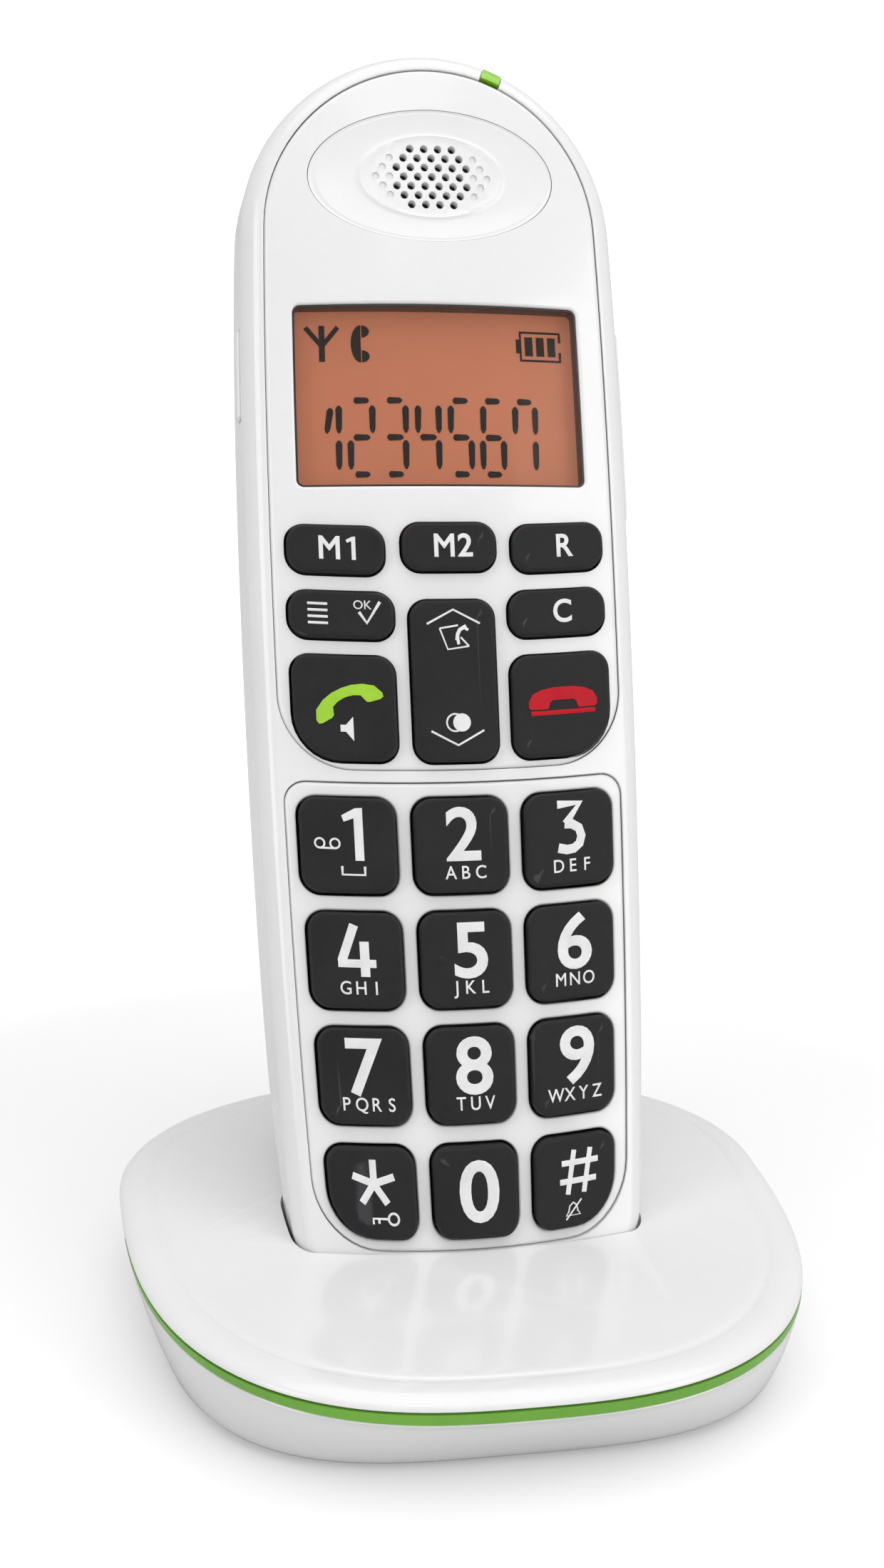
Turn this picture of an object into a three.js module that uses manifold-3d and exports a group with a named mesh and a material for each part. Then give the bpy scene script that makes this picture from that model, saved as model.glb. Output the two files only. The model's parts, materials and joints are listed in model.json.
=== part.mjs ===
// Cordless telephone handset standing in its charging base.
// Millimetres, +Z up, front of the phone towards -Y, table surface at Z = 0.
// Handset pieces are written in face coordinates: X across, Y up the handset, Z out of its face.
import * as THREE from 'three';
import { mergeVertices } from 'three/addons/utils/BufferGeometryUtils.js';
import Module from 'manifold-3d';

const wasm = await Module();
wasm.setup();

// Clearances
const gap = 0.3;
const keyGap = 0.35;
const cradleGap = 0.8;
const overlapForCuts = 1;
const farAway = 400;

// Facets: steps in half of each quarter turn, so a quarter turn has twice as many
const cornerSteps = 1;
const outlineSteps = 5;

// Handset: rows of its face, each measured from the one below
const keypadPanelBottom = 7.4;
const keypadRowMargin = 1.12;
const keyRowPitch = 14.93;
const keyRowGap = 1.75;
const keyHeight = keyRowPitch - keyRowGap;
const keyRows = 4;
const firstKeyRow = keypadPanelBottom + keypadRowMargin + keyHeight / 2 + (keyRows - 1) * keyRowPitch;
const keypadPanelTop = firstKeyRow + keyHeight / 2 + 1.71;
const fasciaBottom = keypadPanelTop + 1.7;
const callKeyRow = fasciaBottom + 8.2;
const navigationRow = fasciaBottom + 11.7;
const menuKeyRow = fasciaBottom + 20.7;
const memoryKeyRow = fasciaBottom + 28.9;
const windowCentre = fasciaBottom + 50.4;
const earpieceCentre = fasciaBottom + 80.4;
const fasciaToTop = 98.1;

// Handset: overall sizes
const windowWidth = 39.2;
const windowSide = 6.9;
const handsetLength = fasciaBottom + fasciaToTop;
const handsetWidth = windowWidth + 2 * windowSide;
const handsetDepth = 25;
const lean = THREE.MathUtils.degToRad(22.4);
const footHalfWidth = 23.4;
const footCornerRadius = 9;
const shoulderRise = 24;
const shoulderNarrowing = 0.9;
const faceEdgeWidth = 2.6;
const faceEdgeDepth = 4.5;
const backEdgeWidth = 8;
const backEdgeDepth = 10;
const footDepth = 20;
const topDepth = 15;
const shellWall = 1.8;
const faceWall = 3.4;
const partingDepth = 10;

// Handset: face panels
const panelInset = 3;
const panelThickness = 2;
const panelLedge = 0.8;
const keypadRecess = 0.3;
const fasciaCornerRadius = 9.5;
const keypadTopHalfWidth = 22.9;
const keypadBottomHalfWidth = 20.8;
const keypadTopRadius = 3;
const keypadBottomRadius = 9;

// Handset: display
const windowHeight = 24.8;
const windowRadius = 1;
const lensThickness = 1;
const lensRecess = 0.9;
const lcdThickness = 4.4;
const lcdBorder = 1.6;

// Handset: earpiece
const earpieceRows = [4, 5, 6, 5, 6, 5, 4];
const earpieceHoleDiameter = 1.1;
const earpieceHolePitch = 2;
const earpieceRowPitch = 1.28;
const speakerDiameter = 20;
const speakerThickness = 4;

// Handset: keys
const keyTravel = 0.8;
const keyProud = 1.2;
const keyRadius = 2.4;
const keyEdge = 0.5;
const keyBottomDepth = 4.6;
const keyColumnGap = 1.7;
const topKeyPitch = 14.8;
const bottomKeyPitch = 13.4;
const outerKeyRadius = 6;
const rowSmile = 0.0022;
const functionKeyHeight = 6.3;
const memoryKeyWidth = 13;
const menuKeyWidth = 14.2;
const callKeyWidth = 14.6;
const callKeyHeight = 14.2;
const memoryKeyPitch = 15.05;
const sideKeyPitch = 14.6;
const navigationWidth = 11.8;
const navigationHeight = 21.4;

// Handset: inner parts
const keyMatThickness = 1;
const boardThickness = 1.2;
const boardInset = 1.4;
const boardDepth = 7.4;
const boardBottomEdge = 9;
const lightPipeWidth = 2.6;
const lightPipeHeight = 3;
const lightPipeDepth = 5;
const lightPipeAngle = THREE.MathUtils.degToRad(68);
const microphoneDiameter = 3.4;
const microphoneThickness = 1.6;
const microphoneHeight = 6.4;
const microphonePort = 1.2;
const microphonePortHeight = 5.8;
const cellDiameter = 10.5;
const cellClearance = 1.1;
const cellSpacing = cellDiameter + cellClearance;
const bayWall = 1.4;
const bayHalfWidth = cellSpacing / 2 + cellDiameter / 2 + gap + 0.4;
const coverThickness = 1.6;
const coverWidth = 2 * (bayHalfWidth + 3.25);
const boardBack = boardDepth + boardThickness;
const bayRoom = handsetDepth - coverThickness - boardBack - bayWall - cellDiameter;
const cellDepth = handsetDepth - coverThickness - cellDiameter / 2 - bayRoom * 0.3276;
const cellLength = 44.5;
const cellNippleDiameter = 3.8;
const cellNippleLength = 0.8;
const bayBottom = 44;
const springLength = 2.4;
const contactThickness = 0.5;
const coverLength = 58;
const coverRadius = 4;
const ledgeThickness = 1.2;
const ringerDiameter = 18;
const ringerThickness = 4;
const ringerStandoff = 1;
const ringerHeight = 110;
const screwHead = 4;
const screwHeadHeight = 1.4;
const screwShank = 2;
const bossDiameter = 6.6;
const postDiameter = 5;
const handsetScrewY = handsetLength - 27;
const handsetScrewPlaces = [[-18, handsetScrewY], [18, handsetScrewY]];
const handsetScrewSeat = 15;
const handsetScrewTip = 5;

// Handset: side keys
const rockerLength = 27;
const rockerWidth = 4.4;
const rockerCentre = 117.5;
const rockerProud = 0.6;
const sideButtonLength = 12;
const sideButtonWidth = 3.6;
const sideButtonCentre = 124.5;
const sideButtonProud = 0.5;
const sideKeyDepth = 7;
const sideKeyThickness = 1.9;

// Handset: charging contacts in the foot
const padSize = 5.4;
const padThickness = 0.6;
const padRecess = 1;
const padSpacing = 16;
const padDepth = 15;

// Where the handset stands in the base
const handsetFootY = -32.2;
const handsetFootZ = 6.75;

// Base
const baseHalfWidth = 44.8;
const baseFront = 55.3;
const baseBack = 32.2;
const baseMiddleY = -7.5;
const baseFrontPower = 2.7;
const baseBackPower = 2.2;
const baseHeight = 13.8;
const baseUnderside = 0.6;
const partingHeight = 11.9;
const rimWidth = 4;
const basePoints = 44;
const flareSide = 4.3;
const flareFront = 7.1;
const flareBack = 3.6;
const baseWall = 2;
const baseFloor = 2;
const cradleWall = 1.5;
const stripHeight = 1.3;
const stripEndY = -14;
const backRestHalfWidth = 17;
const backRestHeight = 27;
const backRestEndY = 20;
const footPadDiameter = 9;
const footPadHeight = 1.5;
const footPadPlaces = [[-27, -40], [27, -40], [-24, 6], [24, 6]];
const baseScrewPlaces = [[-34, -20], [34, -20]];
const baseBossHeight = 4;
const baseScrewSeat = 2.6;
const baseScrewTip = 9;

// Base: electrics
const baseBoardWidth = 50;
const baseBoardFrontY = 1.5;
const baseBoardBackY = 8;
const baseBoardHeight = 3;
const socketFaceY = 18.6;
const socketDepth = 10.2;
const socketHeight = 8.6;
const lineSocketX = -13.5;
const lineSocketWidth = 12.4;
const lineOpeningWidth = 10;
const lineOpeningHeight = 6.6;
const lineOpeningDepth = 9;
const inletX = 13;
const inletWidth = 9;
const inletBore = 5.6;
const inletPin = 1.4;
const inletBoreDepth = 8.4;
const pagingWidth = 8;
const pagingHeight = 4.6;
const pagingProud = 0.6;
const pagingLength = 5.2;
const chargeContactWidth = 3;
const chargeContactThickness = 0.45;
const chargeContactLength = 9;
const chargeContactBump = 2.2;

// Materials
function plastic(color, roughness) {
  return new THREE.MeshStandardMaterial({ color, roughness, metalness: 0 });
}

function metal(color, roughness) {
  return new THREE.MeshStandardMaterial({ color, roughness, metalness: 1 });
}

const glossWhite = () => plastic(0xeeeeec, 0.18);
const keyRubber = () => plastic(0x2b2b2c, 0.62);
const matRubber = () => plastic(0x8d9092, 0.8);
const green = () => plastic(0x7cbf3a, 0.35);
const clearLens = () => plastic(0xc98a68, 0.06);
const amberGlass = () => plastic(0xb8765a, 0.3);
const boardGreen = () => plastic(0x1f5b38, 0.5);
const blackPlastic = () => plastic(0x1c1c1d, 0.45);
const footRubber = () => plastic(0x555759, 0.85);
const cellSleeve = () => plastic(0x3a7d44, 0.4);
const steel = () => metal(0xb9bcbf, 0.32);
const gold = () => metal(0xcfae6a, 0.3);

// Solid helpers
function solid(geometry) {
  const bare = geometry.index ? geometry.toNonIndexed() : geometry.clone();
  bare.deleteAttribute('normal');
  bare.deleteAttribute('uv');
  const merged = mergeVertices(bare, 1e-4);
  return new wasm.Manifold(new wasm.Mesh({
    numProp: 3,
    vertProperties: new Float32Array(merged.attributes.position.array),
    triVerts: new Uint32Array(merged.index.array),
  }));
}

function geometryOf(manifold) {
  const mesh = manifold.getMesh();
  const geometry = new THREE.BufferGeometry();
  geometry.setAttribute('position', new THREE.BufferAttribute(mesh.vertProperties, 3));
  geometry.setIndex(new THREE.BufferAttribute(mesh.triVerts, 1));
  return geometry;
}

function piece(name, shape, material) {
  const geometry = shape.isBufferGeometry ? shape : geometryOf(shape);
  const mesh = new THREE.Mesh(geometry, material);
  mesh.name = name;
  return mesh;
}

function together(solids) {
  return solids.reduce((all, next) => all.add(next));
}

function boxBetween(low, high) {
  const geometry = new THREE.BoxGeometry(high[0] - low[0], high[1] - low[1], high[2] - low[2]);
  geometry.translate((low[0] + high[0]) / 2, (low[1] + high[1]) / 2, (low[2] + high[2]) / 2);
  return solid(geometry);
}

// A disc standing on the plane z = bottom.
function disc(x, y, bottom, diameter, height, sides = 20) {
  const geometry = new THREE.CylinderGeometry(diameter / 2, diameter / 2, height, sides);
  geometry.rotateX(Math.PI / 2);
  geometry.translate(x, y, bottom + height / 2);
  return solid(geometry);
}

// Corner radii run top left, top right, bottom right, bottom left.
function roundedRectangle(width, height, radii) {
  const [topLeft, topRight, bottomRight, bottomLeft] = radii;
  const right = width / 2;
  const top = height / 2;
  const shape = new THREE.Shape();
  shape.moveTo(-right + bottomLeft, -top);
  shape.lineTo(right - bottomRight, -top);
  shape.absarc(right - bottomRight, -top + bottomRight, bottomRight, -Math.PI / 2, 0);
  shape.lineTo(right, top - topRight);
  shape.absarc(right - topRight, top - topRight, topRight, 0, Math.PI / 2);
  shape.lineTo(-right + topLeft, top);
  shape.absarc(-right + topLeft, top - topLeft, topLeft, Math.PI / 2, Math.PI);
  shape.lineTo(-right, -top + bottomLeft);
  shape.absarc(-right + bottomLeft, -top + bottomLeft, bottomLeft, Math.PI, Math.PI * 1.5);
  return shape;
}

function plate(shape, low, high, curveSegments = cornerSteps) {
  const geometry = new THREE.ExtrudeGeometry(shape, {
    depth: high - low,
    bevelEnabled: false,
    curveSegments,
  });
  geometry.translate(0, 0, low);
  return solid(geometry);
}

// Joins outlines with equal point counts, one at each height, into a closed solid.
function loft(rings, heights) {
  const steps = heights.length - 1;
  const geometry = new THREE.ExtrudeGeometry(new THREE.Shape(rings[0]), {
    depth: steps,
    steps,
    bevelEnabled: false,
  });
  const place = geometry.attributes.position;
  for (let i = 0; i < place.count; i += 1) {
    const here = new THREE.Vector2(place.getX(i), place.getY(i));
    const distances = rings[0].map((point) => point.distanceToSquared(here));
    const corner = distances.indexOf(Math.min(...distances));
    const level = Math.round(place.getZ(i));
    const point = rings[level][corner];
    place.setXYZ(i, point.x, point.y, heights[level]);
  }
  return solid(geometry);
}

// Handset shape
const halfWidth = handsetWidth / 2;
const shoulderHeight = handsetLength - shoulderRise;
const shoulderHalfWidth = halfWidth - shoulderNarrowing;

function handsetOutline(inset) {
  const corner = Math.max(footCornerRadius - inset, 0.5);
  const cornerX = footHalfWidth - footCornerRadius;
  const side = halfWidth - inset;
  const shoulder = shoulderHalfWidth - inset;
  const highSide = side + shoulderNarrowing / 2;
  const lowBulge = handsetLength * 0.3;
  const highBulge = handsetLength * 0.68;
  const shape = new THREE.Shape();
  shape.moveTo(-cornerX, footCornerRadius - corner);
  shape.lineTo(cornerX, footCornerRadius - corner);
  shape.absarc(cornerX, footCornerRadius, corner, -Math.PI / 2, 0);
  shape.bezierCurveTo(side, lowBulge, highSide, highBulge, shoulder, shoulderHeight);
  shape.absellipse(0, shoulderHeight, shoulder, shoulderRise - inset, 0, Math.PI);
  shape.bezierCurveTo(-highSide, highBulge, -side, lowBulge, -cornerX - corner, footCornerRadius);
  shape.absarc(-cornerX, footCornerRadius, corner, Math.PI, Math.PI * 1.5);
  return shape;
}

// The points of an outline, without the doubled ones where two of its curves meet.
function distinctPoints(shape, divisions) {
  const points = shape.getPoints(divisions);
  return points.filter((point, i) => {
    const previous = points[(i + points.length - 1) % points.length];
    return point.distanceTo(previous) > 1e-4;
  });
}

// Depth and side inset of each level of the body, from the back to the face.
function bodyLevels() {
  const levels = [];
  const backSteps = 3;
  const faceSteps = 3;
  for (let i = 0; i <= backSteps; i += 1) {
    const angle = (i / backSteps) * (Math.PI / 2);
    const z = -handsetDepth + backEdgeDepth * (1 - Math.cos(angle));
    levels.push([z, backEdgeWidth * (1 - Math.sin(angle))]);
  }
  for (let i = 0; i <= faceSteps; i += 1) {
    const angle = (i / faceSteps) * (Math.PI / 2);
    const z = -faceEdgeDepth + faceEdgeDepth * Math.sin(angle);
    levels.push([z, faceEdgeWidth * (1 - Math.cos(angle))]);
  }
  return levels;
}

// Side view of the body: a level foot, and a back that is fullest at the grip.
function sideProfile(inset) {
  const footSlope = Math.tan(lean);
  const footLift = inset / Math.cos(lean);
  const back = -handsetDepth + inset;
  const footBack = -footDepth + inset;
  const topBack = -topDepth + inset;
  const front = handsetDepth;
  const shape = new THREE.Shape();
  shape.moveTo(front, -front * footSlope + footLift);
  shape.lineTo(front, handsetLength + handsetDepth);
  shape.lineTo(topBack, handsetLength + handsetDepth);
  shape.lineTo(topBack, handsetLength - inset);
  shape.quadraticCurveTo(back, handsetLength * 0.86, back, handsetLength * 0.6);
  shape.lineTo(back, handsetLength * 0.34);
  shape.quadraticCurveTo(back, handsetLength * 0.16, footBack, -footBack * footSlope + footLift);
  return shape;
}

// The whole handset body, shrunk by inset, or grown where inset is below zero.
function handsetBody(inset, faceInset = inset) {
  const levels = bodyLevels();
  const last = levels.length - 1;
  const rings = levels.map(([, side]) => distinctPoints(handsetOutline(side + inset), outlineSteps));
  const heights = levels.map(([z], i) => {
    const middle = -handsetDepth + backEdgeDepth;
    const low = z + inset * (1 - (z + handsetDepth) / (middle + handsetDepth));
    return z <= middle ? low : z - faceInset * ((z - middle) / (levels[last][0] - middle));
  });
  return loft(rings, heights).intersect(sideCut(sideProfile(inset)));
}

// Turns a side view, drawn as depth against height, into a solid across the handset.
function sideCut(shape) {
  const geometry = new THREE.ExtrudeGeometry(shape, {
    depth: farAway,
    bevelEnabled: false,
    curveSegments: 6,
  });
  const turn = new THREE.Matrix4().set(
    0, 0, -1, farAway / 2,
    0, 1, 0, 0,
    1, 0, 0, 0,
    0, 0, 0, 1,
  );
  geometry.applyMatrix4(turn);
  return solid(geometry);
}

// Handset placing: X across, Y up the handset and Z out of its face, leaning back in the base.
const handset = new THREE.Group();
handset.position.set(0, handsetFootY, handsetFootZ);
handset.rotation.x = Math.PI / 2 - lean;
handset.updateMatrix();
const toHandset = handset.matrix.clone().invert();

function inHandset(manifold) {
  return solid(geometryOf(manifold).applyMatrix4(toHandset));
}

function inBase(manifold) {
  return solid(geometryOf(manifold).applyMatrix4(handset.matrix));
}

// Face panels
const panelSide = halfWidth - panelInset;
const panelShoulder = shoulderHalfWidth - panelInset;

function fasciaOutline(inset) {
  const cornerX = panelSide - fasciaCornerRadius;
  const cornerY = fasciaBottom + fasciaCornerRadius;
  const corner = fasciaCornerRadius - inset;
  const shoulder = panelShoulder - inset;
  const shape = new THREE.Shape();
  shape.moveTo(-cornerX, fasciaBottom + inset);
  shape.lineTo(cornerX, fasciaBottom + inset);
  shape.absarc(cornerX, cornerY, corner, -Math.PI / 2, 0);
  shape.lineTo(shoulder, shoulderHeight);
  shape.absellipse(0, shoulderHeight, shoulder, shoulderRise - panelInset - inset, 0, Math.PI);
  shape.lineTo(-panelSide + inset, cornerY);
  shape.absarc(-cornerX, cornerY, corner, Math.PI, Math.PI * 1.5);
  return shape;
}

function keypadOutline(inset) {
  const bottomX = keypadBottomHalfWidth - keypadBottomRadius;
  const bottomY = keypadPanelBottom + keypadBottomRadius;
  const topX = keypadTopHalfWidth - keypadTopRadius;
  const topY = keypadPanelTop - keypadTopRadius;
  const bottomRadius = keypadBottomRadius - inset;
  const topRadius = keypadTopRadius - inset;
  const shape = new THREE.Shape();
  shape.moveTo(-bottomX, keypadPanelBottom + inset);
  shape.lineTo(bottomX, keypadPanelBottom + inset);
  shape.absarc(bottomX, bottomY, bottomRadius, -Math.PI / 2, 0);
  shape.lineTo(keypadTopHalfWidth - inset, topY);
  shape.absarc(topX, topY, topRadius, 0, Math.PI / 2);
  shape.lineTo(-topX, keypadPanelTop - inset);
  shape.absarc(-topX, topY, topRadius, Math.PI / 2, Math.PI);
  shape.lineTo(-keypadBottomHalfWidth + inset, bottomY);
  shape.absarc(-bottomX, bottomY, bottomRadius, Math.PI, Math.PI * 1.5);
  return shape;
}

// Keys: every key's name, place, size and corner radii
function functionKeys() {
  const r = keyRadius;
  const smile = (x) => rowSmile * x * x;
  const memory = (name, x) => ({
    name,
    x,
    y: memoryKeyRow + smile(x),
    width: memoryKeyWidth,
    height: functionKeyHeight,
    radii: [r, r, r, r],
  });
  const menu = (name, x) => ({ ...memory(name, x), y: menuKeyRow + smile(x), width: menuKeyWidth });
  const call = (name, x, radii) => ({
    name,
    x,
    y: callKeyRow + smile(x),
    width: callKeyWidth,
    height: callKeyHeight,
    radii,
  });
  return [
    memory('key_memory_1', -memoryKeyPitch),
    memory('key_memory_2', 0),
    memory('key_recall', memoryKeyPitch),
    menu('key_menu_ok', -sideKeyPitch),
    menu('key_clear', sideKeyPitch),
    call('key_call', -sideKeyPitch, [r, r, r, outerKeyRadius]),
    call('key_end', sideKeyPitch, [r, r, outerKeyRadius, r]),
    {
      name: 'key_navigation',
      x: 0,
      y: navigationRow,
      width: navigationWidth,
      height: navigationHeight,
      radii: [r, r, r, r],
    },
  ];
}

function numberKeys() {
  const names = [
    ['key_1', 'key_2', 'key_3'],
    ['key_4', 'key_5', 'key_6'],
    ['key_7', 'key_8', 'key_9'],
    ['key_star', 'key_0', 'key_hash'],
  ];
  const lastRow = names.length - 1;
  return names.flatMap((row, rowNumber) => row.map((name, column) => {
    const pitch = THREE.MathUtils.lerp(topKeyPitch, bottomKeyPitch, rowNumber / lastRow);
    const x = (column - 1) * pitch;
    const radii = [keyRadius, keyRadius, keyRadius, keyRadius];
    if (name === 'key_star') radii[3] = outerKeyRadius;
    if (name === 'key_hash') radii[2] = outerKeyRadius;
    return {
      name,
      x,
      y: firstKeyRow - keyRowPitch * rowNumber + rowSmile * x * x,
      width: pitch - keyColumnGap,
      height: keyHeight,
      radii,
    };
  }));
}

function keyOutline(key, grow) {
  const radii = key.radii.map((radius) => radius + grow);
  const shape = roundedRectangle(key.width + 2 * grow, key.height + 2 * grow, radii);
  return distinctPoints(shape, cornerSteps).map((point) => point.add(new THREE.Vector2(key.x, key.y)));
}

function keyCap(key) {
  const geometry = new THREE.ExtrudeGeometry(new THREE.Shape(keyOutline(key, -keyEdge)), {
    depth: keyBottomDepth + keyProud - 2 * keyEdge,
    bevelThickness: keyEdge,
    bevelSize: keyEdge,
    bevelSegments: 1,
  });
  geometry.translate(0, 0, -keyBottomDepth + keyEdge);
  return piece(key.name, solid(geometry), keyRubber());
}

// Front panels
function handsetPost([x, y]) {
  const tall = partingDepth - gap / 2 - panelThickness / 2;
  return disc(x, y, -partingDepth + gap / 2, postDiameter, tall, 12);
}

function screwHole([x, y]) {
  const tip = handsetScrewTip - gap;
  return disc(x, y, -handsetDepth, screwShank + 2 * gap, handsetDepth - tip, 12);
}

function circleHole(x, y, diameter, sides) {
  const hole = new THREE.Path();
  hole.absarc(x, y, diameter / 2, 0, Math.PI * 2, true);
  return new THREE.Path(hole.getPoints(sides / 2).slice(0, -1));
}

function earpieceHoles() {
  const middleRow = (earpieceRows.length - 1) / 2;
  return earpieceRows.flatMap((count, row) => Array.from({ length: count }, (_, i) => {
    const x = (i - (count - 1) / 2) * earpieceHolePitch;
    const y = earpieceCentre + (middleRow - row) * earpieceRowPitch;
    return circleHole(x, y, earpieceHoleDiameter, 6);
  }));
}

function windowOutline(grow) {
  const radii = Array(4).fill(windowRadius + grow);
  const shape = roundedRectangle(windowWidth + 2 * grow, windowHeight + 2 * grow, radii);
  return distinctPoints(shape, cornerSteps).map((point) => point.add(new THREE.Vector2(0, windowCentre)));
}

function fascia() {
  const shape = fasciaOutline(0);
  const keyHoles = functionKeys().map((key) => new THREE.Path(keyOutline(key, keyGap)));
  shape.holes.push(new THREE.Path(windowOutline(0)), ...keyHoles, ...earpieceHoles());
  const posts = together(handsetScrewPlaces.map(handsetPost));
  const screws = together(handsetScrewPlaces.map(screwHole));
  const panel = plate(shape, -panelThickness, 0, outlineSteps).add(posts).subtract(screws);
  return piece('front_fascia', panel, glossWhite());
}

function keypadPanel() {
  const shape = keypadOutline(0);
  shape.holes.push(...numberKeys().map((key) => new THREE.Path(keyOutline(key, keyGap))));
  return piece('keypad_panel', plate(shape, -panelThickness, -keypadRecess, cornerSteps), glossWhite());
}

function displayWindow() {
  const low = -lensRecess - lensThickness;
  const shape = new THREE.Shape(windowOutline(-gap));
  return piece('display_window', plate(shape, low, -lensRecess), clearLens());
}

const lcdTop = -panelThickness - gap;
const lcdBottom = lcdTop - lcdThickness;
const boardTop = -boardDepth;
const boardBottom = boardTop - boardThickness;

function lcdModule() {
  const shape = new THREE.Shape(windowOutline(lcdBorder));
  return piece('lcd_module', plate(shape, lcdBottom, lcdTop), amberGlass());
}

// Shells
const bodyOuter = handsetBody(0);
const bodyInner = handsetBody(shellWall, faceWall);
const hollowBody = bodyOuter.subtract(bodyInner);
const frontHalf = boxBetween([-farAway, -farAway, -partingDepth + gap / 2], [farAway, farAway, farAway]);
const rearHalf = boxBetween([-farAway, -farAway, -farAway], [farAway, farAway, -partingDepth - gap / 2]);

function sideKeyRegion(side, centre, length, width, grow) {
  const low = [side > 0 ? 0 : -farAway, centre - length / 2 - grow, -sideKeyDepth - width / 2 - grow];
  const high = [side > 0 ? farAway : 0, centre + length / 2 + grow, -sideKeyDepth + width / 2 + grow];
  return boxBetween(low, high);
}

function sideKey(name, side, centre, length, width, proud) {
  const skin = handsetBody(-proud).subtract(handsetBody(sideKeyThickness));
  return piece(name, skin.intersect(sideKeyRegion(side, centre, length, width, 0)), glossWhite());
}

function lightPipeRegion(grow) {
  const x = Math.cos(lightPipeAngle) * shoulderHalfWidth;
  const y = shoulderHeight + Math.sin(lightPipeAngle) * shoulderRise;
  const width = lightPipeWidth + 2 * grow;
  const height = 2 * lightPipeHeight + 2 * grow;
  const geometry = new THREE.BoxGeometry(width, height, farAway);
  geometry.translate(0, 0, farAway / 2 - lightPipeDepth - grow);
  geometry.rotateZ(lightPipeAngle - Math.PI / 2);
  geometry.translate(x, y, 0);
  return solid(geometry);
}

function lightPipe() {
  const rim = bodyOuter.subtract(plate(fasciaOutline(-2 * gap), -farAway, farAway, outlineSteps));
  return piece('light_pipe', rim.intersect(lightPipeRegion(0)), green());
}

function frontShell() {
  const panelBack = -panelThickness - gap;
  const openings = together([
    plate(fasciaOutline(-gap), panelBack, overlapForCuts, outlineSteps),
    plate(fasciaOutline(panelLedge), -farAway, overlapForCuts, outlineSteps),
    plate(keypadOutline(-gap), panelBack, overlapForCuts, cornerSteps),
    plate(keypadOutline(panelLedge), -farAway, overlapForCuts, cornerSteps),
    sideKeyRegion(1, rockerCentre, rockerLength, rockerWidth, gap),
    sideKeyRegion(-1, sideButtonCentre, sideButtonLength, sideButtonWidth, gap),
    lightPipeRegion(gap),
    disc(0, microphonePortHeight, -handsetDepth, microphonePort, farAway, 8),
  ]);
  return piece('handset_front_shell', hollowBody.intersect(frontHalf).subtract(openings), glossWhite());
}

const bayLength = cellLength + springLength + 2 * contactThickness + 4 * gap;
const bayTop = bayBottom + bayLength;
const bayFront = -cellDepth + cellDiameter / 2 + gap;
const coverCentre = (bayBottom + bayTop) / 2;

function coverRegion(grow) {
  const width = coverWidth + 2 * grow;
  const length = coverLength + 2 * grow;
  const shape = roundedRectangle(width, length, Array(4).fill(coverRadius + grow));
  const centre = new THREE.Vector2(0, coverCentre);
  const points = distinctPoints(shape, cornerSteps).map((point) => point.add(centre));
  return plate(new THREE.Shape(points), -farAway, -partingDepth - gap);
}

const underCover = handsetBody(coverThickness + gap);

function batteryCover() {
  const skin = bodyOuter.subtract(handsetBody(coverThickness));
  return piece('battery_cover', skin.intersect(coverRegion(0)), glossWhite());
}

function ringerSlots() {
  const count = 5;
  const pitch = 2.4;
  const long = 9;
  return together(Array.from({ length: count }, (_, i) => {
    const y = ringerHeight + (i - (count - 1) / 2) * pitch;
    return boxBetween([-long / 2, y - 0.6, -farAway], [long / 2, y + 0.6, -handsetDepth + 4]);
  }));
}

const padY = handsetFootY + padDepth / Math.cos(lean);

function padRegion(side, grow, low, high) {
  const x = (side * padSpacing) / 2;
  const half = padSize / 2 + grow;
  return inHandset(boxBetween([x - half, padY - half, low], [x + half, padY + half, high]));
}

function rearShell() {
  const ledgeBack = handsetBody(coverThickness + gap + ledgeThickness);
  const ledge = handsetBody(shellWall / 2).subtract(ledgeBack).intersect(coverRegion(ledgeThickness));
  const wall = hollowBody.intersect(rearHalf);
  const coverPocket = coverRegion(gap).subtract(underCover);
  const tray = boxBetween(
    [-bayHalfWidth - bayWall, bayBottom - bayWall, -farAway],
    [bayHalfWidth + bayWall, bayTop + bayWall, bayFront + bayWall],
  ).intersect(underCover);
  const bay = boxBetween([-bayHalfWidth, bayBottom, -farAway], [bayHalfWidth, bayTop, bayFront]);
  const bosses = together(handsetScrewPlaces.map(([x, y]) => disc(
    x,
    y,
    -handsetDepth,
    bossDiameter,
    handsetDepth - partingDepth - gap / 2,
    14,
  ))).intersect(bodyOuter);
  const seats = together(handsetScrewPlaces.map(([x, y]) => disc(
    x,
    y,
    -handsetDepth - overlapForCuts,
    screwHead + 2 * gap,
    handsetDepth - handsetScrewSeat + overlapForCuts,
    14,
  )));
  const padHigh = handsetFootZ + padRecess + padThickness + 2;
  const pads = together([-1, 1].map((side) => padRegion(side, gap, 0, padHigh)));
  const screwHoles = handsetScrewPlaces.map(screwHole);
  const cuts = together([coverPocket, bay, seats, pads, ringerSlots(), ...screwHoles]);
  return piece('handset_rear_shell', together([wall, ledge, tray, bosses]).subtract(cuts), glossWhite());
}

// Handset inner parts
function handsetBoard() {
  const bottom = boardBottomEdge;
  const outline = plate(handsetOutline(shellWall + boardInset), boardBottom, boardTop, outlineSteps);
  const cut = boxBetween([-farAway, -farAway, -farAway], [farAway, bottom, farAway]);
  const postHole = postDiameter + 2 * gap;
  const holes = handsetScrewPlaces.map(([x, y]) => disc(x, y, -farAway, postHole, farAway, 12));
  return piece('handset_circuit_board', outline.subtract(together([cut, ...holes])), boardGreen());
}

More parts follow.
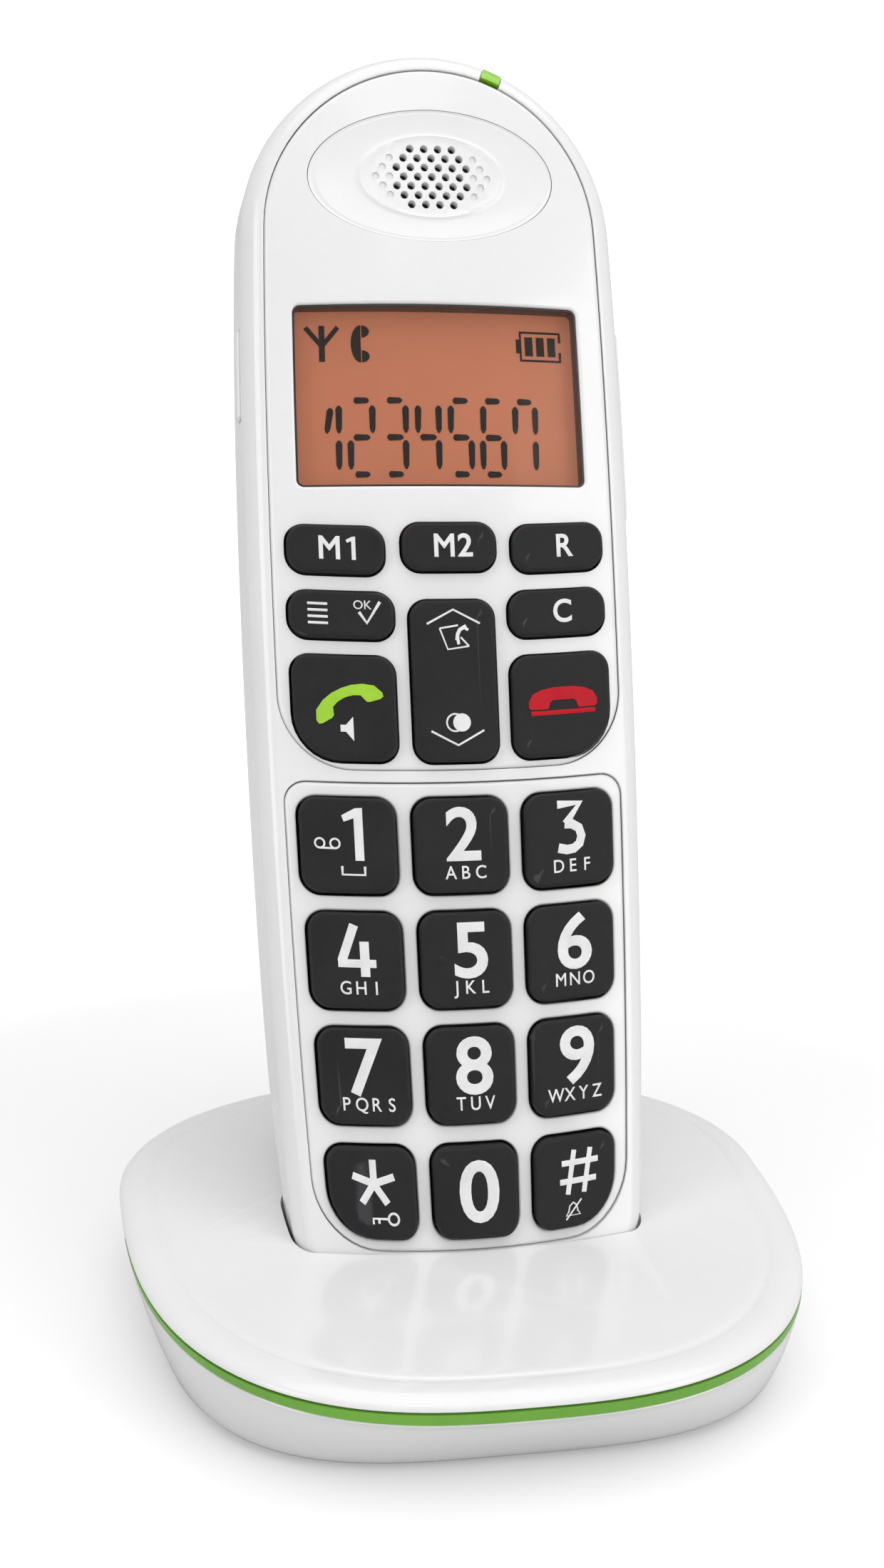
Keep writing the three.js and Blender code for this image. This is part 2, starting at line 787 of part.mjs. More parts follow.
function keyMat() {
  const top = -keyBottomDepth - keyTravel - gap;
  const low = keypadPanelBottom + panelLedge;
  const high = windowCentre - windowHeight / 2 - lcdBorder - gap;
  const shape = roundedRectangle(2 * keypadBottomHalfWidth - 1, high - low, [2, 2, 7, 7]);
  const centre = new THREE.Vector2(0, (low + high) / 2);
  const points = distinctPoints(shape, cornerSteps).map((point) => point.add(centre));
  return piece('key_mat', plate(new THREE.Shape(points), top - keyMatThickness, top), matRubber());
}

function earpieceSpeaker() {
  const top = -panelThickness - gap;
  const rim = disc(0, earpieceCentre, top - 1.4, speakerDiameter, 1.4, 24);
  const magnetDiameter = speakerDiameter * 0.6;
  const magnet = disc(0, earpieceCentre, top - speakerThickness, magnetDiameter, speakerThickness, 20);
  return piece('earpiece_speaker', rim.add(magnet), blackPlastic());
}

function microphone() {
  const top = -faceWall - gap;
  const low = top - microphoneThickness;
  const can = disc(0, microphoneHeight, low, microphoneDiameter, microphoneThickness, 12);
  return piece('microphone', can, steel());
}

function ringer() {
  const low = -handsetDepth + shellWall + ringerStandoff;
  const rim = disc(0, ringerHeight, low, ringerDiameter, 1.4, 24);
  const magnet = disc(0, ringerHeight, low, ringerDiameter * 0.55, ringerThickness, 16);
  return piece('ringer_speaker', rim.add(magnet), blackPlastic());
}

// A cell lies along the handset; turned says which end its nipple points to.
function cell(name, side) {
  const canRadius = cellDiameter / 2;
  const nippleRadius = cellNippleDiameter / 2;
  const can = new THREE.CylinderGeometry(canRadius, canRadius, cellLength - cellNippleLength, 20);
  const nipple = new THREE.CylinderGeometry(nippleRadius, nippleRadius, cellNippleLength * 2, 12);
  nipple.translate(0, (cellLength - cellNippleLength) / 2, 0);
  const body = solid(can).add(solid(nipple));
  const geometry = geometryOf(body);
  if (side < 0) geometry.rotateZ(Math.PI);
  const middle = cellLength / 2 - cellNippleLength / 2;
  const nippleEnd = side > 0 ? bayTop - contactThickness - 2 * gap - cellLength : 0;
  const y = side > 0
    ? nippleEnd + middle
    : bayBottom + contactThickness + 2 * gap + cellNippleLength + middle;
  geometry.translate((side * cellSpacing) / 2, y, -cellDepth);
  return piece(name, geometry, cellSleeve());
}

// A contact plate from low to high across the bay, at its bottom (-1) or top (+1) end.
function terminalPlate(lowX, highX, end) {
  const half = cellDiameter / 2 - 1;
  const low = end > 0 ? bayTop - gap - contactThickness : bayBottom + gap;
  return boxBetween([lowX, low, -cellDepth - half], [highX, low + contactThickness, -cellDepth + half]);
}

function terminalSpring(x, end) {
  const sunk = 0.1;
  const cone = new THREE.CylinderGeometry(1.8, 3.4, springLength, 14);
  if (end > 0) cone.rotateX(Math.PI);
  const base = end > 0 ? bayTop - gap - contactThickness : bayBottom + gap + contactThickness;
  cone.translate(x, base - end * (springLength / 2 - sunk), -cellDepth);
  return solid(cone);
}

function batteryTerminals() {
  const half = cellDiameter / 2 - 1;
  const x = cellSpacing / 2;
  const bridge = terminalPlate(-x - half, x + half, 1).add(terminalSpring(-x, 1));
  return [
    piece('battery_bridge', bridge, steel()),
    piece('battery_terminal_left', terminalPlate(-x - half, -x + half, -1), steel()),
    piece(
      'battery_terminal_right',
      terminalPlate(x - half, x + half, -1).add(terminalSpring(x, -1)),
      steel(),
    ),
  ];
}

function screw(x, y, seat, tip) {
  const head = disc(x, y, seat - screwHeadHeight, screwHead, screwHeadHeight, 14);
  return head.add(disc(x, y, seat - overlapForCuts / 2, screwShank, tip - seat + overlapForCuts / 2, 10));
}

function handsetScrew(name, [x, y]) {
  return piece(name, screw(x, y, -handsetScrewSeat - gap, -handsetScrewTip), steel());
}

function chargePad(name, side) {
  const low = handsetFootZ + padRecess;
  return piece(name, padRegion(side, 0, low, low + padThickness), gold());
}

// Base shape
function baseRing(inset, flare) {
  const across = baseHalfWidth - inset - flare * flareSide;
  const front = baseFront - inset - flare * flareFront;
  const back = baseBack - inset - flare * flareBack;
  return Array.from({ length: basePoints }, (_, i) => {
    const angle = (i / basePoints) * Math.PI * 2;
    const sine = Math.sin(angle);
    const cosine = Math.cos(angle);
    const power = sine < 0 ? baseFrontPower : baseBackPower;
    const reach = sine < 0 ? front : back;
    const x = across * Math.sign(cosine) * Math.abs(cosine) ** (2 / power);
    const y = baseMiddleY + reach * Math.sign(sine) * Math.abs(sine) ** (2 / power);
    return new THREE.Vector2(x, y);
  });
}

// The base, solid, shrunk by inset; each level holds its height, rim inset and flare.
function baseBody(inset, floorInset = inset) {
  const rise = baseHeight - partingHeight;
  const levels = [
    [baseUnderside + floorInset, 0.6, 1],
    [baseUnderside + floorInset + 0.6, 0, 0.95],
    [partingHeight, 0, 0],
    [partingHeight + rise * 0.45 - inset * 0.45, rimWidth * 0.08, 0],
    [partingHeight + rise * 0.8 - inset * 0.8, rimWidth * 0.4, 0],
    [baseHeight - inset, rimWidth, 0],
  ];
  return loft(levels.map(([, rim, flare]) => baseRing(rim + inset, flare)), levels.map(([z]) => z));
}

// Turns an outline of Y and Z into a solid of the given width, centred on X = 0.
function acrossBase(shape, width) {
  const geometry = new THREE.ExtrudeGeometry(shape, {
    depth: width,
    bevelEnabled: false,
    curveSegments: 5,
  });
  const turn = new THREE.Matrix4().set(
    0, 0, 1, -width / 2,
    1, 0, 0, 0,
    0, 1, 0, 0,
    0, 0, 0, 1,
  );
  return solid(geometry.applyMatrix4(turn));
}

function polygon(points) {
  return new THREE.Shape(points.map(([x, y]) => new THREE.Vector2(x, y)));
}

const baseOuter = baseBody(0);
const baseInner = baseBody(baseWall, baseFloor);
const hollowBase = baseOuter.subtract(baseInner);
const cradleVoid = inBase(handsetBody(-cradleGap));
const baseFrontY = baseMiddleY - baseFront;

// Height of the accent strip's lower edge below the parting plane, falling towards the front.
function belowStrip(drop) {
  const parting = partingHeight - gap / 2;
  return polygon([
    [-farAway, -farAway],
    [farAway, -farAway],
    [farAway, parting],
    [stripEndY, parting],
    [stripEndY, parting - drop],
    [baseFrontY, parting - stripHeight - drop],
    [-farAway, parting - stripHeight - drop],
  ]);
}

function accentStrip() {
  const parting = partingHeight - gap / 2;
  const band = polygon([
    [stripEndY - gap, parting],
    [-farAway, parting],
    [-farAway, parting - stripHeight],
    [baseFrontY, parting - stripHeight],
    [stripEndY - gap, parting - gap],
  ]);
  return piece('base_accent_strip', hollowBase.intersect(acrossBase(band, farAway)), green());
}

function backRest() {
  const low = baseHeight - 1.4;
  const shape = new THREE.Shape();
  shape.moveTo(-12, low);
  shape.lineTo(backRestEndY - 1, low);
  shape.lineTo(backRestEndY - 1, baseHeight);
  shape.quadraticCurveTo(backRestEndY - 8, baseHeight + 2, backRestEndY - 10, backRestHeight - 5);
  shape.quadraticCurveTo(backRestEndY - 11, backRestHeight, backRestEndY - 14, backRestHeight);
  shape.lineTo(-2, backRestHeight);
  return acrossBase(shape, 2 * backRestHalfWidth);
}

function basePost([x, y]) {
  const low = baseBossHeight + gap;
  return disc(x, y, low, postDiameter, baseHeight - baseWall - low + 0.4, 12);
}

function baseTopShell() {
  const above = boxBetween([-farAway, -farAway, partingHeight + gap / 2], [farAway, farAway, farAway]);
  const cradleOuter = inBase(handsetBody(-cradleGap - cradleWall));
  const roofHeight = baseHeight - 1;
  const underRoof = boxBetween([-farAway, -farAway, 0], [farAway, farAway, roofHeight]);
  const pocket = cradleOuter.intersect(underRoof);
  const posts = together(baseScrewPlaces.map(basePost));
  const screwHoles = together(baseScrewPlaces.map(([x, y]) => disc(
    x,
    y,
    0,
    screwShank + 2 * gap,
    baseScrewTip + gap,
    12,
  )));
  const slots = together([-1, 1].map((side) => contactRegion(side, gap)));
  const shell = together([hollowBase.intersect(above), pocket, posts, backRest()]);
  return piece('base_top_shell', shell.subtract(together([cradleVoid, screwHoles, slots])), glossWhite());
}

const socketLow = baseUnderside + baseFloor + gap;

function socketBlock(x, width, grow) {
  const half = width / 2 + grow;
  const low = [x - half, socketFaceY - socketDepth - grow, socketLow - grow];
  const high = [x + half, socketFaceY + (grow > 0 ? farAway : 0), socketLow + socketHeight + grow];
  return boxBetween(low, high);
}

function pagingRegion(grow) {
  const middle = socketLow + socketHeight / 2;
  const backY = baseMiddleY + baseBack - flareBack * ((partingHeight - middle) / partingHeight);
  const side = pagingWidth / 2 + grow;
  const rise = pagingHeight / 2 + grow;
  const endY = backY + pagingProud;
  const low = [-side, endY - pagingLength, middle - rise];
  const high = [side, endY + grow * farAway, middle + rise];
  return boxBetween(low, high);
}

function baseBottomShell() {
  const wall = hollowBase.intersect(acrossBase(belowStrip(gap), farAway));
  const bossRise = baseBossHeight - baseUnderside;
  const bosses = together(baseScrewPlaces.map(([x, y]) => disc(x, y, baseUnderside, 8, bossRise, 14)));
  const seats = baseScrewPlaces.map(([x, y]) => disc(x, y, 0, screwHead + 2 * gap, baseScrewSeat, 14));
  const holes = baseScrewPlaces.map(([x, y]) => disc(x, y, 0, screwShank + 2 * gap, baseHeight, 12));
  const padHole = footPadDiameter + 2 * gap;
  const feet = footPadPlaces.map(([x, y]) => disc(x, y, 0, padHole, footPadHeight + gap, 16));
  const sockets = [
    socketBlock(lineSocketX, lineSocketWidth, gap),
    socketBlock(inletX, inletWidth, gap),
    pagingRegion(gap),
  ];
  const cuts = together([...seats, ...holes, ...feet, ...sockets]);
  return piece('base_bottom_shell', wall.add(bosses).subtract(cuts), glossWhite());
}

function baseFoot([x, y], i) {
  return piece(`base_foot_${i + 1}`, disc(x, y, 0, footPadDiameter, footPadHeight, 16), footRubber());
}

function baseScrew([x, y], i) {
  return piece(`base_screw_${i + 1}`, screw(x, y, baseScrewSeat - gap, baseScrewTip), steel());
}

function baseBoard() {
  const half = baseBoardWidth / 2;
  const low = [-half, baseBoardFrontY, baseBoardHeight];
  const high = [half, baseBoardBackY, baseBoardHeight + boardThickness];
  return piece('base_circuit_board', boxBetween(low, high), boardGreen());
}

function lineSocket() {
  const block = socketBlock(lineSocketX, lineSocketWidth, 0);
  const middle = socketLow + socketHeight / 2;
  const low = [
    lineSocketX - lineOpeningWidth / 2,
    socketFaceY - lineOpeningDepth,
    middle - lineOpeningHeight / 2,
  ];
  const high = [
    lineSocketX + lineOpeningWidth / 2,
    socketFaceY + overlapForCuts,
    middle + lineOpeningHeight / 2,
  ];
  return piece('line_socket', block.subtract(boxBetween(low, high)), blackPlastic());
}

function alongY(x, z, low, high, diameter, sides) {
  const geometry = new THREE.CylinderGeometry(diameter / 2, diameter / 2, high - low, sides);
  geometry.translate(x, (low + high) / 2, z);
  return solid(geometry);
}

function powerInlet() {
  const middle = socketLow + socketHeight / 2;
  const block = socketBlock(inletX, inletWidth, 0);
  const boreEnd = socketFaceY - inletBoreDepth;
  const bore = alongY(inletX, middle, boreEnd, socketFaceY + overlapForCuts, inletBore, 18);
  const pin = alongY(inletX, middle, boreEnd - 0.5, socketFaceY - 1, inletPin, 10);
  return piece('power_inlet', block.subtract(bore).add(pin), blackPlastic());
}

function pagingButton() {
  return piece('paging_button', pagingRegion(0), green());
}

// Sprung charging contact: a flat leaf under the cradle floor with a bump up through it.
const contactTop = handsetFootZ + padRecess - gap;
const cradleFloorBottom = handsetFootZ - cradleGap - cradleWall;
const leafTop = cradleFloorBottom - gap;

function contactRegion(side, grow) {
  const x = (side * padSpacing) / 2;
  const half = chargeContactBump / 2 + grow;
  return boxBetween([x - half, padY - half, 0], [x + half, padY + half, contactTop]);
}

function chargeContact(name, side) {
  const x = (side * padSpacing) / 2;
  const leaf = boxBetween(
    [x - chargeContactWidth / 2, padY - chargeContactLength / 2, leafTop - chargeContactThickness],
    [x + chargeContactWidth / 2, padY + chargeContactLength / 2, leafTop],
  );
  const above = boxBetween([-farAway, -farAway, leafTop - 0.1], [farAway, farAway, farAway]);
  return piece(name, leaf.add(contactRegion(side, 0).intersect(above)), gold());
}

// Assembly
handset.add(
  frontShell(),
  rearShell(),
  fascia(),
  keypadPanel(),
  displayWindow(),
  lcdModule(),
  lightPipe(),
  earpieceSpeaker(),
  microphone(),
  ringer(),
  handsetBoard(),
  keyMat(),
  cell('battery_cell_left', -1),
  cell('battery_cell_right', 1),
  ...batteryTerminals(),
  batteryCover(),
  handsetScrew('handset_screw_left', handsetScrewPlaces[0]),
  handsetScrew('handset_screw_right', handsetScrewPlaces[1]),
  chargePad('charge_pad_left', -1),
  chargePad('charge_pad_right', 1),
  sideKey('volume_rocker', 1, rockerCentre, rockerLength, rockerWidth, rockerProud),
  sideKey('side_key', -1, sideButtonCentre, sideButtonLength, sideButtonWidth, sideButtonProud),
  ...functionKeys().map(keyCap),
  ...numberKeys().map(keyCap),
);

const phone = new THREE.Group();
phone.add(
  handset,
  baseTopShell(),
  baseBottomShell(),
  accentStrip(),
  ...footPadPlaces.map(baseFoot),
  ...baseScrewPlaces.map(baseScrew),
  baseBoard(),
  lineSocket(),
  powerInlet(),
  pagingButton(),
  chargeContact('charge_contact_left', -1),
  chargeContact('charge_contact_right', 1),
);

// Stand the phone over the origin, centred on its overall box.
const box = new THREE.Box3().setFromObject(phone, true);
phone.position.y = -(box.min.y + box.max.y) / 2;

export default phone;
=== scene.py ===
# %% [markdown]
# # A cordless telephone standing in its charging base
# The telephone is a slim white handset that leans back in a wide, low base.
# Its CAD frame gives every size, body and joint. This script keeps that frame
# and dresses it: each visible part is modelled again with soft edges, fine
# seams and its own finish, and rides on the CAD body that moves it.
# Everything is drawn in millimetres and turned into metres at the end.

# %% Frame
import json
import math

import bmesh
import bpy
import numpy as np
from mathutils import Matrix, Vector

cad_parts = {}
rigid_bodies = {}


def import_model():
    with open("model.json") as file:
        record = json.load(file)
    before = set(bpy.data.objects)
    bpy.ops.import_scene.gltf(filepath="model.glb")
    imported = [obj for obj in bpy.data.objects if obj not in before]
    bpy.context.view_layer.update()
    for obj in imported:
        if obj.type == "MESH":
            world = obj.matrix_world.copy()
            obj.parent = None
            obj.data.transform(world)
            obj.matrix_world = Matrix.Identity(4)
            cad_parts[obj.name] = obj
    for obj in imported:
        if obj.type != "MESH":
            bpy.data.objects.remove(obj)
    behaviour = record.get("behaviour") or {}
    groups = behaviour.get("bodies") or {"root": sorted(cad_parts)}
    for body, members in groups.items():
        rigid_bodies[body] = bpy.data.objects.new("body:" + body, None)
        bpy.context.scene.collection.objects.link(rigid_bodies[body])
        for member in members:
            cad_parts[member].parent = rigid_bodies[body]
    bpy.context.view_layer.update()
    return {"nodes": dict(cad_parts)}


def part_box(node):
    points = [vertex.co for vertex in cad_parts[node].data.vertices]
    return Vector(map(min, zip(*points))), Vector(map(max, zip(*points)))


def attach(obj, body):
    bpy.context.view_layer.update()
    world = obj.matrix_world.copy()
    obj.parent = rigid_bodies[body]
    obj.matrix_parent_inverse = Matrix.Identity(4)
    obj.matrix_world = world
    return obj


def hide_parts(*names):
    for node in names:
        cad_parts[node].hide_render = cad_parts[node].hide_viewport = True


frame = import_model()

scene = bpy.context.scene
scene.view_settings.view_transform = "Standard"

# %% [markdown]
# ## Where the handset stands
# The handset is drawn lying flat, as a tool maker would draw it: `u` across,
# `v` up its length, `n` out of its face. One matrix then stands it in the base.
# The base is drawn standing, with its front edge at a known place, so a single
# shift in `y` puts both where the CAD has them.

# %% Placing
MM = 0.001
LEAN = math.radians(22.4)
FOOT_Y, FOOT_Z = -32.2, 6.75
FOOT_PAD_Y = -40.0
base_shift = sum(corner.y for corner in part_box("base_foot_1")) / 2 / MM - FOOT_PAD_Y

stand_handset = Matrix.Translation((0, FOOT_Y, FOOT_Z)) @ Matrix.Rotation(math.pi / 2 - LEAN, 4, "X")
to_metres = Matrix.Scale(MM, 4) @ Matrix.Translation((0, base_shift, 0))
print("base shift in y: %.3f mm" % base_shift)

# %% [markdown]
# ## Camera
# A long lens stands a little to the left and above, tilted slightly. The shape
# of the view comes from three directions: right, up and back.

# %% Camera
CAMERA_PLACE = Vector((-56.80, -268.995 + base_shift, 153.44)) * MM
CAMERA_RIGHT = Vector((0.98063, -0.19281, 0.03446))
CAMERA_UP = Vector((0.02525, 0.29891, 0.95395))
CAMERA_BACK = CAMERA_RIGHT.cross(CAMERA_UP)
LENS, SENSOR_WIDTH, NEAREST = 49.126, 36, 0.01

camera_data = bpy.data.cameras.new("camera")
camera_data.lens = LENS
camera_data.sensor_width = SENSOR_WIDTH
camera_data.clip_start = NEAREST
camera = bpy.data.objects.new("camera", camera_data)
axes = Matrix((CAMERA_RIGHT, CAMERA_UP, CAMERA_BACK)).transposed().to_4x4()
camera.matrix_world = Matrix.Translation(CAMERA_PLACE) @ axes
scene.collection.objects.link(camera)
scene.camera = camera
print("camera at", [round(x, 3) for x in CAMERA_PLACE])

# %% [markdown]
# ## Finishes
# Real plastic is never one flat colour. Three effects are shared by every
# finish, so each is built once as a node group: slow changes of colour and
# gloss where hands touch, a fine moulded grain, and paler edges, partly wear
# and partly a painted highlight. Each finish then places the groups with its
# own values in front of its own shader. A painted image could do the same, but
# noise has no seams and no size.

# %% Node helpers
def new_group(name, inputs, outputs):
    group = bpy.data.node_groups.new(name, "ShaderNodeTree")
    for label, kind, value in inputs:
        socket = group.interface.new_socket(label, in_out="INPUT", socket_type=kind)
        socket.default_value = value
    for label, kind in outputs:
        group.interface.new_socket(label, in_out="OUTPUT", socket_type=kind)
    start = group.nodes.new("NodeGroupInput")
    end = group.nodes.new("NodeGroupOutput")
    return group, start, end


FLOAT, COLOR, VECTOR = "NodeSocketFloat", "NodeSocketColor", "NodeSocketVector"


def add_noise(group, start, scale_label, detail, roughness):
    place = group.nodes.new("ShaderNodeTexCoord")
    noise = group.nodes.new("ShaderNodeTexNoise")
    noise.inputs["Detail"].default_value = detail
    noise.inputs["Roughness"].default_value = roughness
    group.links.new(place.outputs["Object"], noise.inputs["Vector"])
    group.links.new(start.outputs[scale_label], noise.inputs["Scale"])
    return noise


# %% [markdown]
# Slow patches and fine specks drift the colour and the gloss of every plastic.
# Both come from noise on Object coordinates, so the pattern stays fixed in the
# part when a joint moves it.

# %% Group: handled surface
handled, start, end = new_group(
    "handled_surface",
    [
        ("Base", COLOR, (0.8, 0.8, 0.8, 1)),
        ("Tint", COLOR, (0.7, 0.7, 0.7, 1)),
        ("Patch Scale", FLOAT, 40.0),
        ("Speck Scale", FLOAT, 900.0),
        ("Roughness Low", FLOAT, 0.2),
        ("Roughness High", FLOAT, 0.3),
    ],
    [("Color", COLOR), ("Roughness", FLOAT)],
)
patches = add_noise(handled, start, "Patch Scale", 3, 0.55)
specks = add_noise(handled, start, "Speck Scale", 2, 0.6)
blend_noise = handled.nodes.new("ShaderNodeMath")
blend_noise.operation = "MULTIPLY_ADD"
blend_noise.inputs[1].default_value = 0.35
handled.links.new(specks.outputs["Fac"], blend_noise.inputs[0])
handled.links.new(patches.outputs["Fac"], blend_noise.inputs[2])
spread = handled.nodes.new("ShaderNodeMapRange")
spread.inputs["From Min"].default_value = 0.5
spread.inputs["From Max"].default_value = 0.85
handled.links.new(blend_noise.outputs[0], spread.inputs["Value"])
mix = handled.nodes.new("ShaderNodeMix")
mix.data_type = "RGBA"
handled.links.new(spread.outputs[0], mix.inputs["Factor"])
handled.links.new(start.outputs["Base"], mix.inputs[6])
handled.links.new(start.outputs["Tint"], mix.inputs[7])
handled.links.new(mix.outputs[2], end.inputs["Color"])
gloss = handled.nodes.new("ShaderNodeMapRange")
handled.links.new(spread.outputs[0], gloss.inputs["Value"])
handled.links.new(start.outputs["Roughness Low"], gloss.inputs["To Min"])
handled.links.new(start.outputs["Roughness High"], gloss.inputs["To Max"])
handled.links.new(gloss.outputs[0], end.inputs["Roughness"])
print("group:", handled.name)

# %% [markdown]
# A mould leaves a very fine grain and a slight long wave in a gloss surface.
# Two bumps in a row give them; modelling such small relief would need millions
# of faces.

# %% Group: moulded grain
grain, start, end = new_group(
    "moulded_grain",
    [("Grain Scale", FLOAT, 2500.0), ("Depth", FLOAT, 0.00001), ("Wave Depth", FLOAT, 0.0)],
    [("Normal", VECTOR)],
)
fine = add_noise(grain, start, "Grain Scale", 2, 0.5)
wave_place = grain.nodes.new("ShaderNodeTexCoord")
waves = grain.nodes.new("ShaderNodeTexNoise")
waves.inputs["Scale"].default_value = 60
waves.inputs["Detail"].default_value = 1
grain.links.new(wave_place.outputs["Object"], waves.inputs["Vector"])
wave_bump = grain.nodes.new("ShaderNodeBump")
grain.links.new(waves.outputs["Fac"], wave_bump.inputs["Height"])
grain.links.new(start.outputs["Wave Depth"], wave_bump.inputs["Distance"])
grain_bump = grain.nodes.new("ShaderNodeBump")
grain.links.new(fine.outputs["Fac"], grain_bump.inputs["Height"])
grain.links.new(start.outputs["Depth"], grain_bump.inputs["Distance"])
grain.links.new(wave_bump.outputs["Normal"], grain_bump.inputs["Normal"])
grain.links.new(grain_bump.outputs["Normal"], end.inputs["Normal"])
print("group:", grain.name)

# %% [markdown]
# The outer edges are painted paler: partly wear where hands polish them, and
# partly a painted highlight along the rounded rims. Pointiness finds them,
# because it is high wherever the surface turns outwards.

# %% Group: edge wear and painted highlight
worn_highlit_edges, start, end = new_group(
    "edge_wear_and_painted_highlight",
    [
        ("Color", COLOR, (0.8, 0.8, 0.8, 1)),
        ("Edge Color", COLOR, (0.9, 0.9, 0.9, 1)),
        ("Amount", FLOAT, 0.3),
    ],
    [("Color", COLOR)],
)
# Convex edges get the paler Edge Color: partly wear, partly a painted highlight.
shape_of = worn_highlit_edges.nodes.new("ShaderNodeNewGeometry")
sharpness = worn_highlit_edges.nodes.new("ShaderNodeMapRange")
sharpness.inputs["From Min"].default_value = 0.52
sharpness.inputs["From Max"].default_value = 0.6
worn_highlit_edges.links.new(shape_of.outputs["Pointiness"], sharpness.inputs["Value"])
share = worn_highlit_edges.nodes.new("ShaderNodeMath")
share.operation = "MULTIPLY"
worn_highlit_edges.links.new(sharpness.outputs[0], share.inputs[0])
worn_highlit_edges.links.new(start.outputs["Amount"], share.inputs[1])
mix = worn_highlit_edges.nodes.new("ShaderNodeMix")
mix.data_type = "RGBA"
worn_highlit_edges.links.new(share.outputs[0], mix.inputs["Factor"])
worn_highlit_edges.links.new(start.outputs["Color"], mix.inputs[6])
worn_highlit_edges.links.new(start.outputs["Edge Color"], mix.inputs[7])
worn_highlit_edges.links.new(mix.outputs[2], end.inputs["Color"])
print("group:", worn_highlit_edges.name)

# %% [markdown]
# A finish is a Principled shader fed by the three groups. Numbers that are the
# same all over, such as the clear coat or the specular level, are set on the
# shader itself.

# %% Finish maker
def srgb(red, green, blue):
    def linear(value):
        value = value / 255
        return value / 12.92 if value <= 0.04045 else ((value + 0.055) / 1.055) ** 2.4
    return (linear(red), linear(green), linear(blue), 1)


def place_group(material, group, values):
    node = material.node_tree.nodes.new("ShaderNodeGroup")
    node.node_tree = group
    for label, value in values.items():
        node.inputs[label].default_value = value
    return node


def make_finish(name, base, tint, gloss, grain_values, edge, shader_values=None, scales=(40, 900)):
    material = bpy.data.materials.new(name)
    material.use_nodes = True
    shader = material.node_tree.nodes["Principled BSDF"]
    link = material.node_tree.links.new
    surface = place_group(material, handled, {
        "Base": base,
        "Tint": tint,
        "Patch Scale": scales[0],
        "Speck Scale": scales[1],
        "Roughness Low": gloss[0],
        "Roughness High": gloss[1],
    })
    # Paler edges: partly wear, partly a painted highlight on the rims.
    edges = place_group(material, worn_highlit_edges, {"Edge Color": edge[0], "Amount": edge[1]})
    bumps = place_group(material, grain, {
        "Grain Scale": grain_values[0],
        "Depth": grain_values[1],
        "Wave Depth": grain_values[2],
    })
    link(surface.outputs["Color"], edges.inputs["Color"])
    link(edges.outputs["Color"], shader.inputs["Base Color"])
    link(surface.outputs["Roughness"], shader.inputs["Roughness"])
    link(bumps.outputs["Normal"], shader.inputs["Normal"])
    for label, value in (shader_values or {}).items():
        shader.inputs[label].default_value = value
    return material


# %% [markdown]
# Each finish has a colour and a tint, a gloss range, its grain and its paler
# edge, which is partly wear and partly a painted highlight. The values differ
# much more between rubber, ink and gloss plastic than their nodes do, so one
# maker serves them all.

# %% The finishes of this telephone
white_gloss = make_finish(
    "white_gloss", (0.87, 0.87, 0.868, 1), (0.845, 0.845, 0.845, 1), (0.13, 0.2),
    (1800, 0.000002, 0.00001), ((0.9, 0.9, 0.9, 1), 0.5), {"Coat Weight": 0.25, "Coat Roughness": 0.06},
)
# The key rims are painted much paler: partly wear, partly a painted highlight.
key_black = make_finish(
    "key_soft_touch", srgb(31, 31, 32), srgb(38, 38, 39), (0.55, 0.68),
    (5200, 0.000018, 0.00001), (srgb(66, 66, 68), 0.8), {"Specular IOR Level": 0.22}, (120, 2600),
)
legend_white = make_finish(
    "legend_ink_white", srgb(236, 236, 236), srgb(222, 222, 222), (0.4, 0.55),
    (5200, 0.000008, 0.0), (srgb(245, 245, 245), 0.2), None, (300, 3000),
)
legend_green = make_finish(
    "legend_ink_green", srgb(160, 212, 40), srgb(146, 198, 34), (0.35, 0.5),
    (5200, 0.000008, 0.0), (srgb(180, 225, 80), 0.2), None, (300, 3000),
)
legend_red = make_finish(
    "legend_ink_red", srgb(190, 8, 28), srgb(178, 10, 28), (0.45, 0.6),
    (5200, 0.000008, 0.0), (srgb(204, 40, 54), 0.2), {"Specular IOR Level": 0.2}, (300, 3000),
)
stripe_green = make_finish(
    "stripe_green", srgb(112, 178, 50), srgb(98, 160, 44), (0.25, 0.38),
    (2600, 0.000004, 0.00001), (srgb(140, 205, 80), 0.4), {"Coat Weight": 0.3, "Coat Roughness": 0.1},
)
clip_green = make_finish(
    "clip_green", srgb(150, 214, 30), srgb(120, 190, 26), (0.08, 0.16),
    (2600, 0.000003, 0.00001), (srgb(190, 235, 90), 0.5), {"Coat Weight": 0.6, "Coat Roughness": 0.05},
)
black_plastic = make_finish(
    "black_plastic", srgb(26, 26, 27), srgb(34, 34, 35), (0.3, 0.42),
    (2600, 0.000006, 0.00001), (srgb(70, 70, 72), 0.4),
)
lcd_ink = make_finish(
    "lcd_ink", srgb(26, 21, 18), srgb(34, 27, 23), (0.6, 0.7),
    (2600, 0.000001, 0.0), (srgb(44, 36, 30), 0.1), {"Specular IOR Level": 0.1},
)
mat_grey = make_finish(
    "keypad_mat", srgb(150, 152, 154), srgb(132, 134, 136), (0.6, 0.75),
    (3000, 0.00001, 0.00002), (srgb(180, 180, 182), 0.2),
)
foot_grey = make_finish(
    "foot_rubber", srgb(86, 88, 90), srgb(72, 74, 76), (0.7, 0.85),
    (3200, 0.00003, 0.00002), (srgb(120, 120, 122), 0.3),
)
board_green = make_finish(
    "circuit_board", srgb(28, 96, 58), srgb(20, 74, 44), (0.35, 0.5),
    (1500, 0.00001, 0.00001), (srgb(150, 130, 70), 0.4), None, (300, 1500),
)
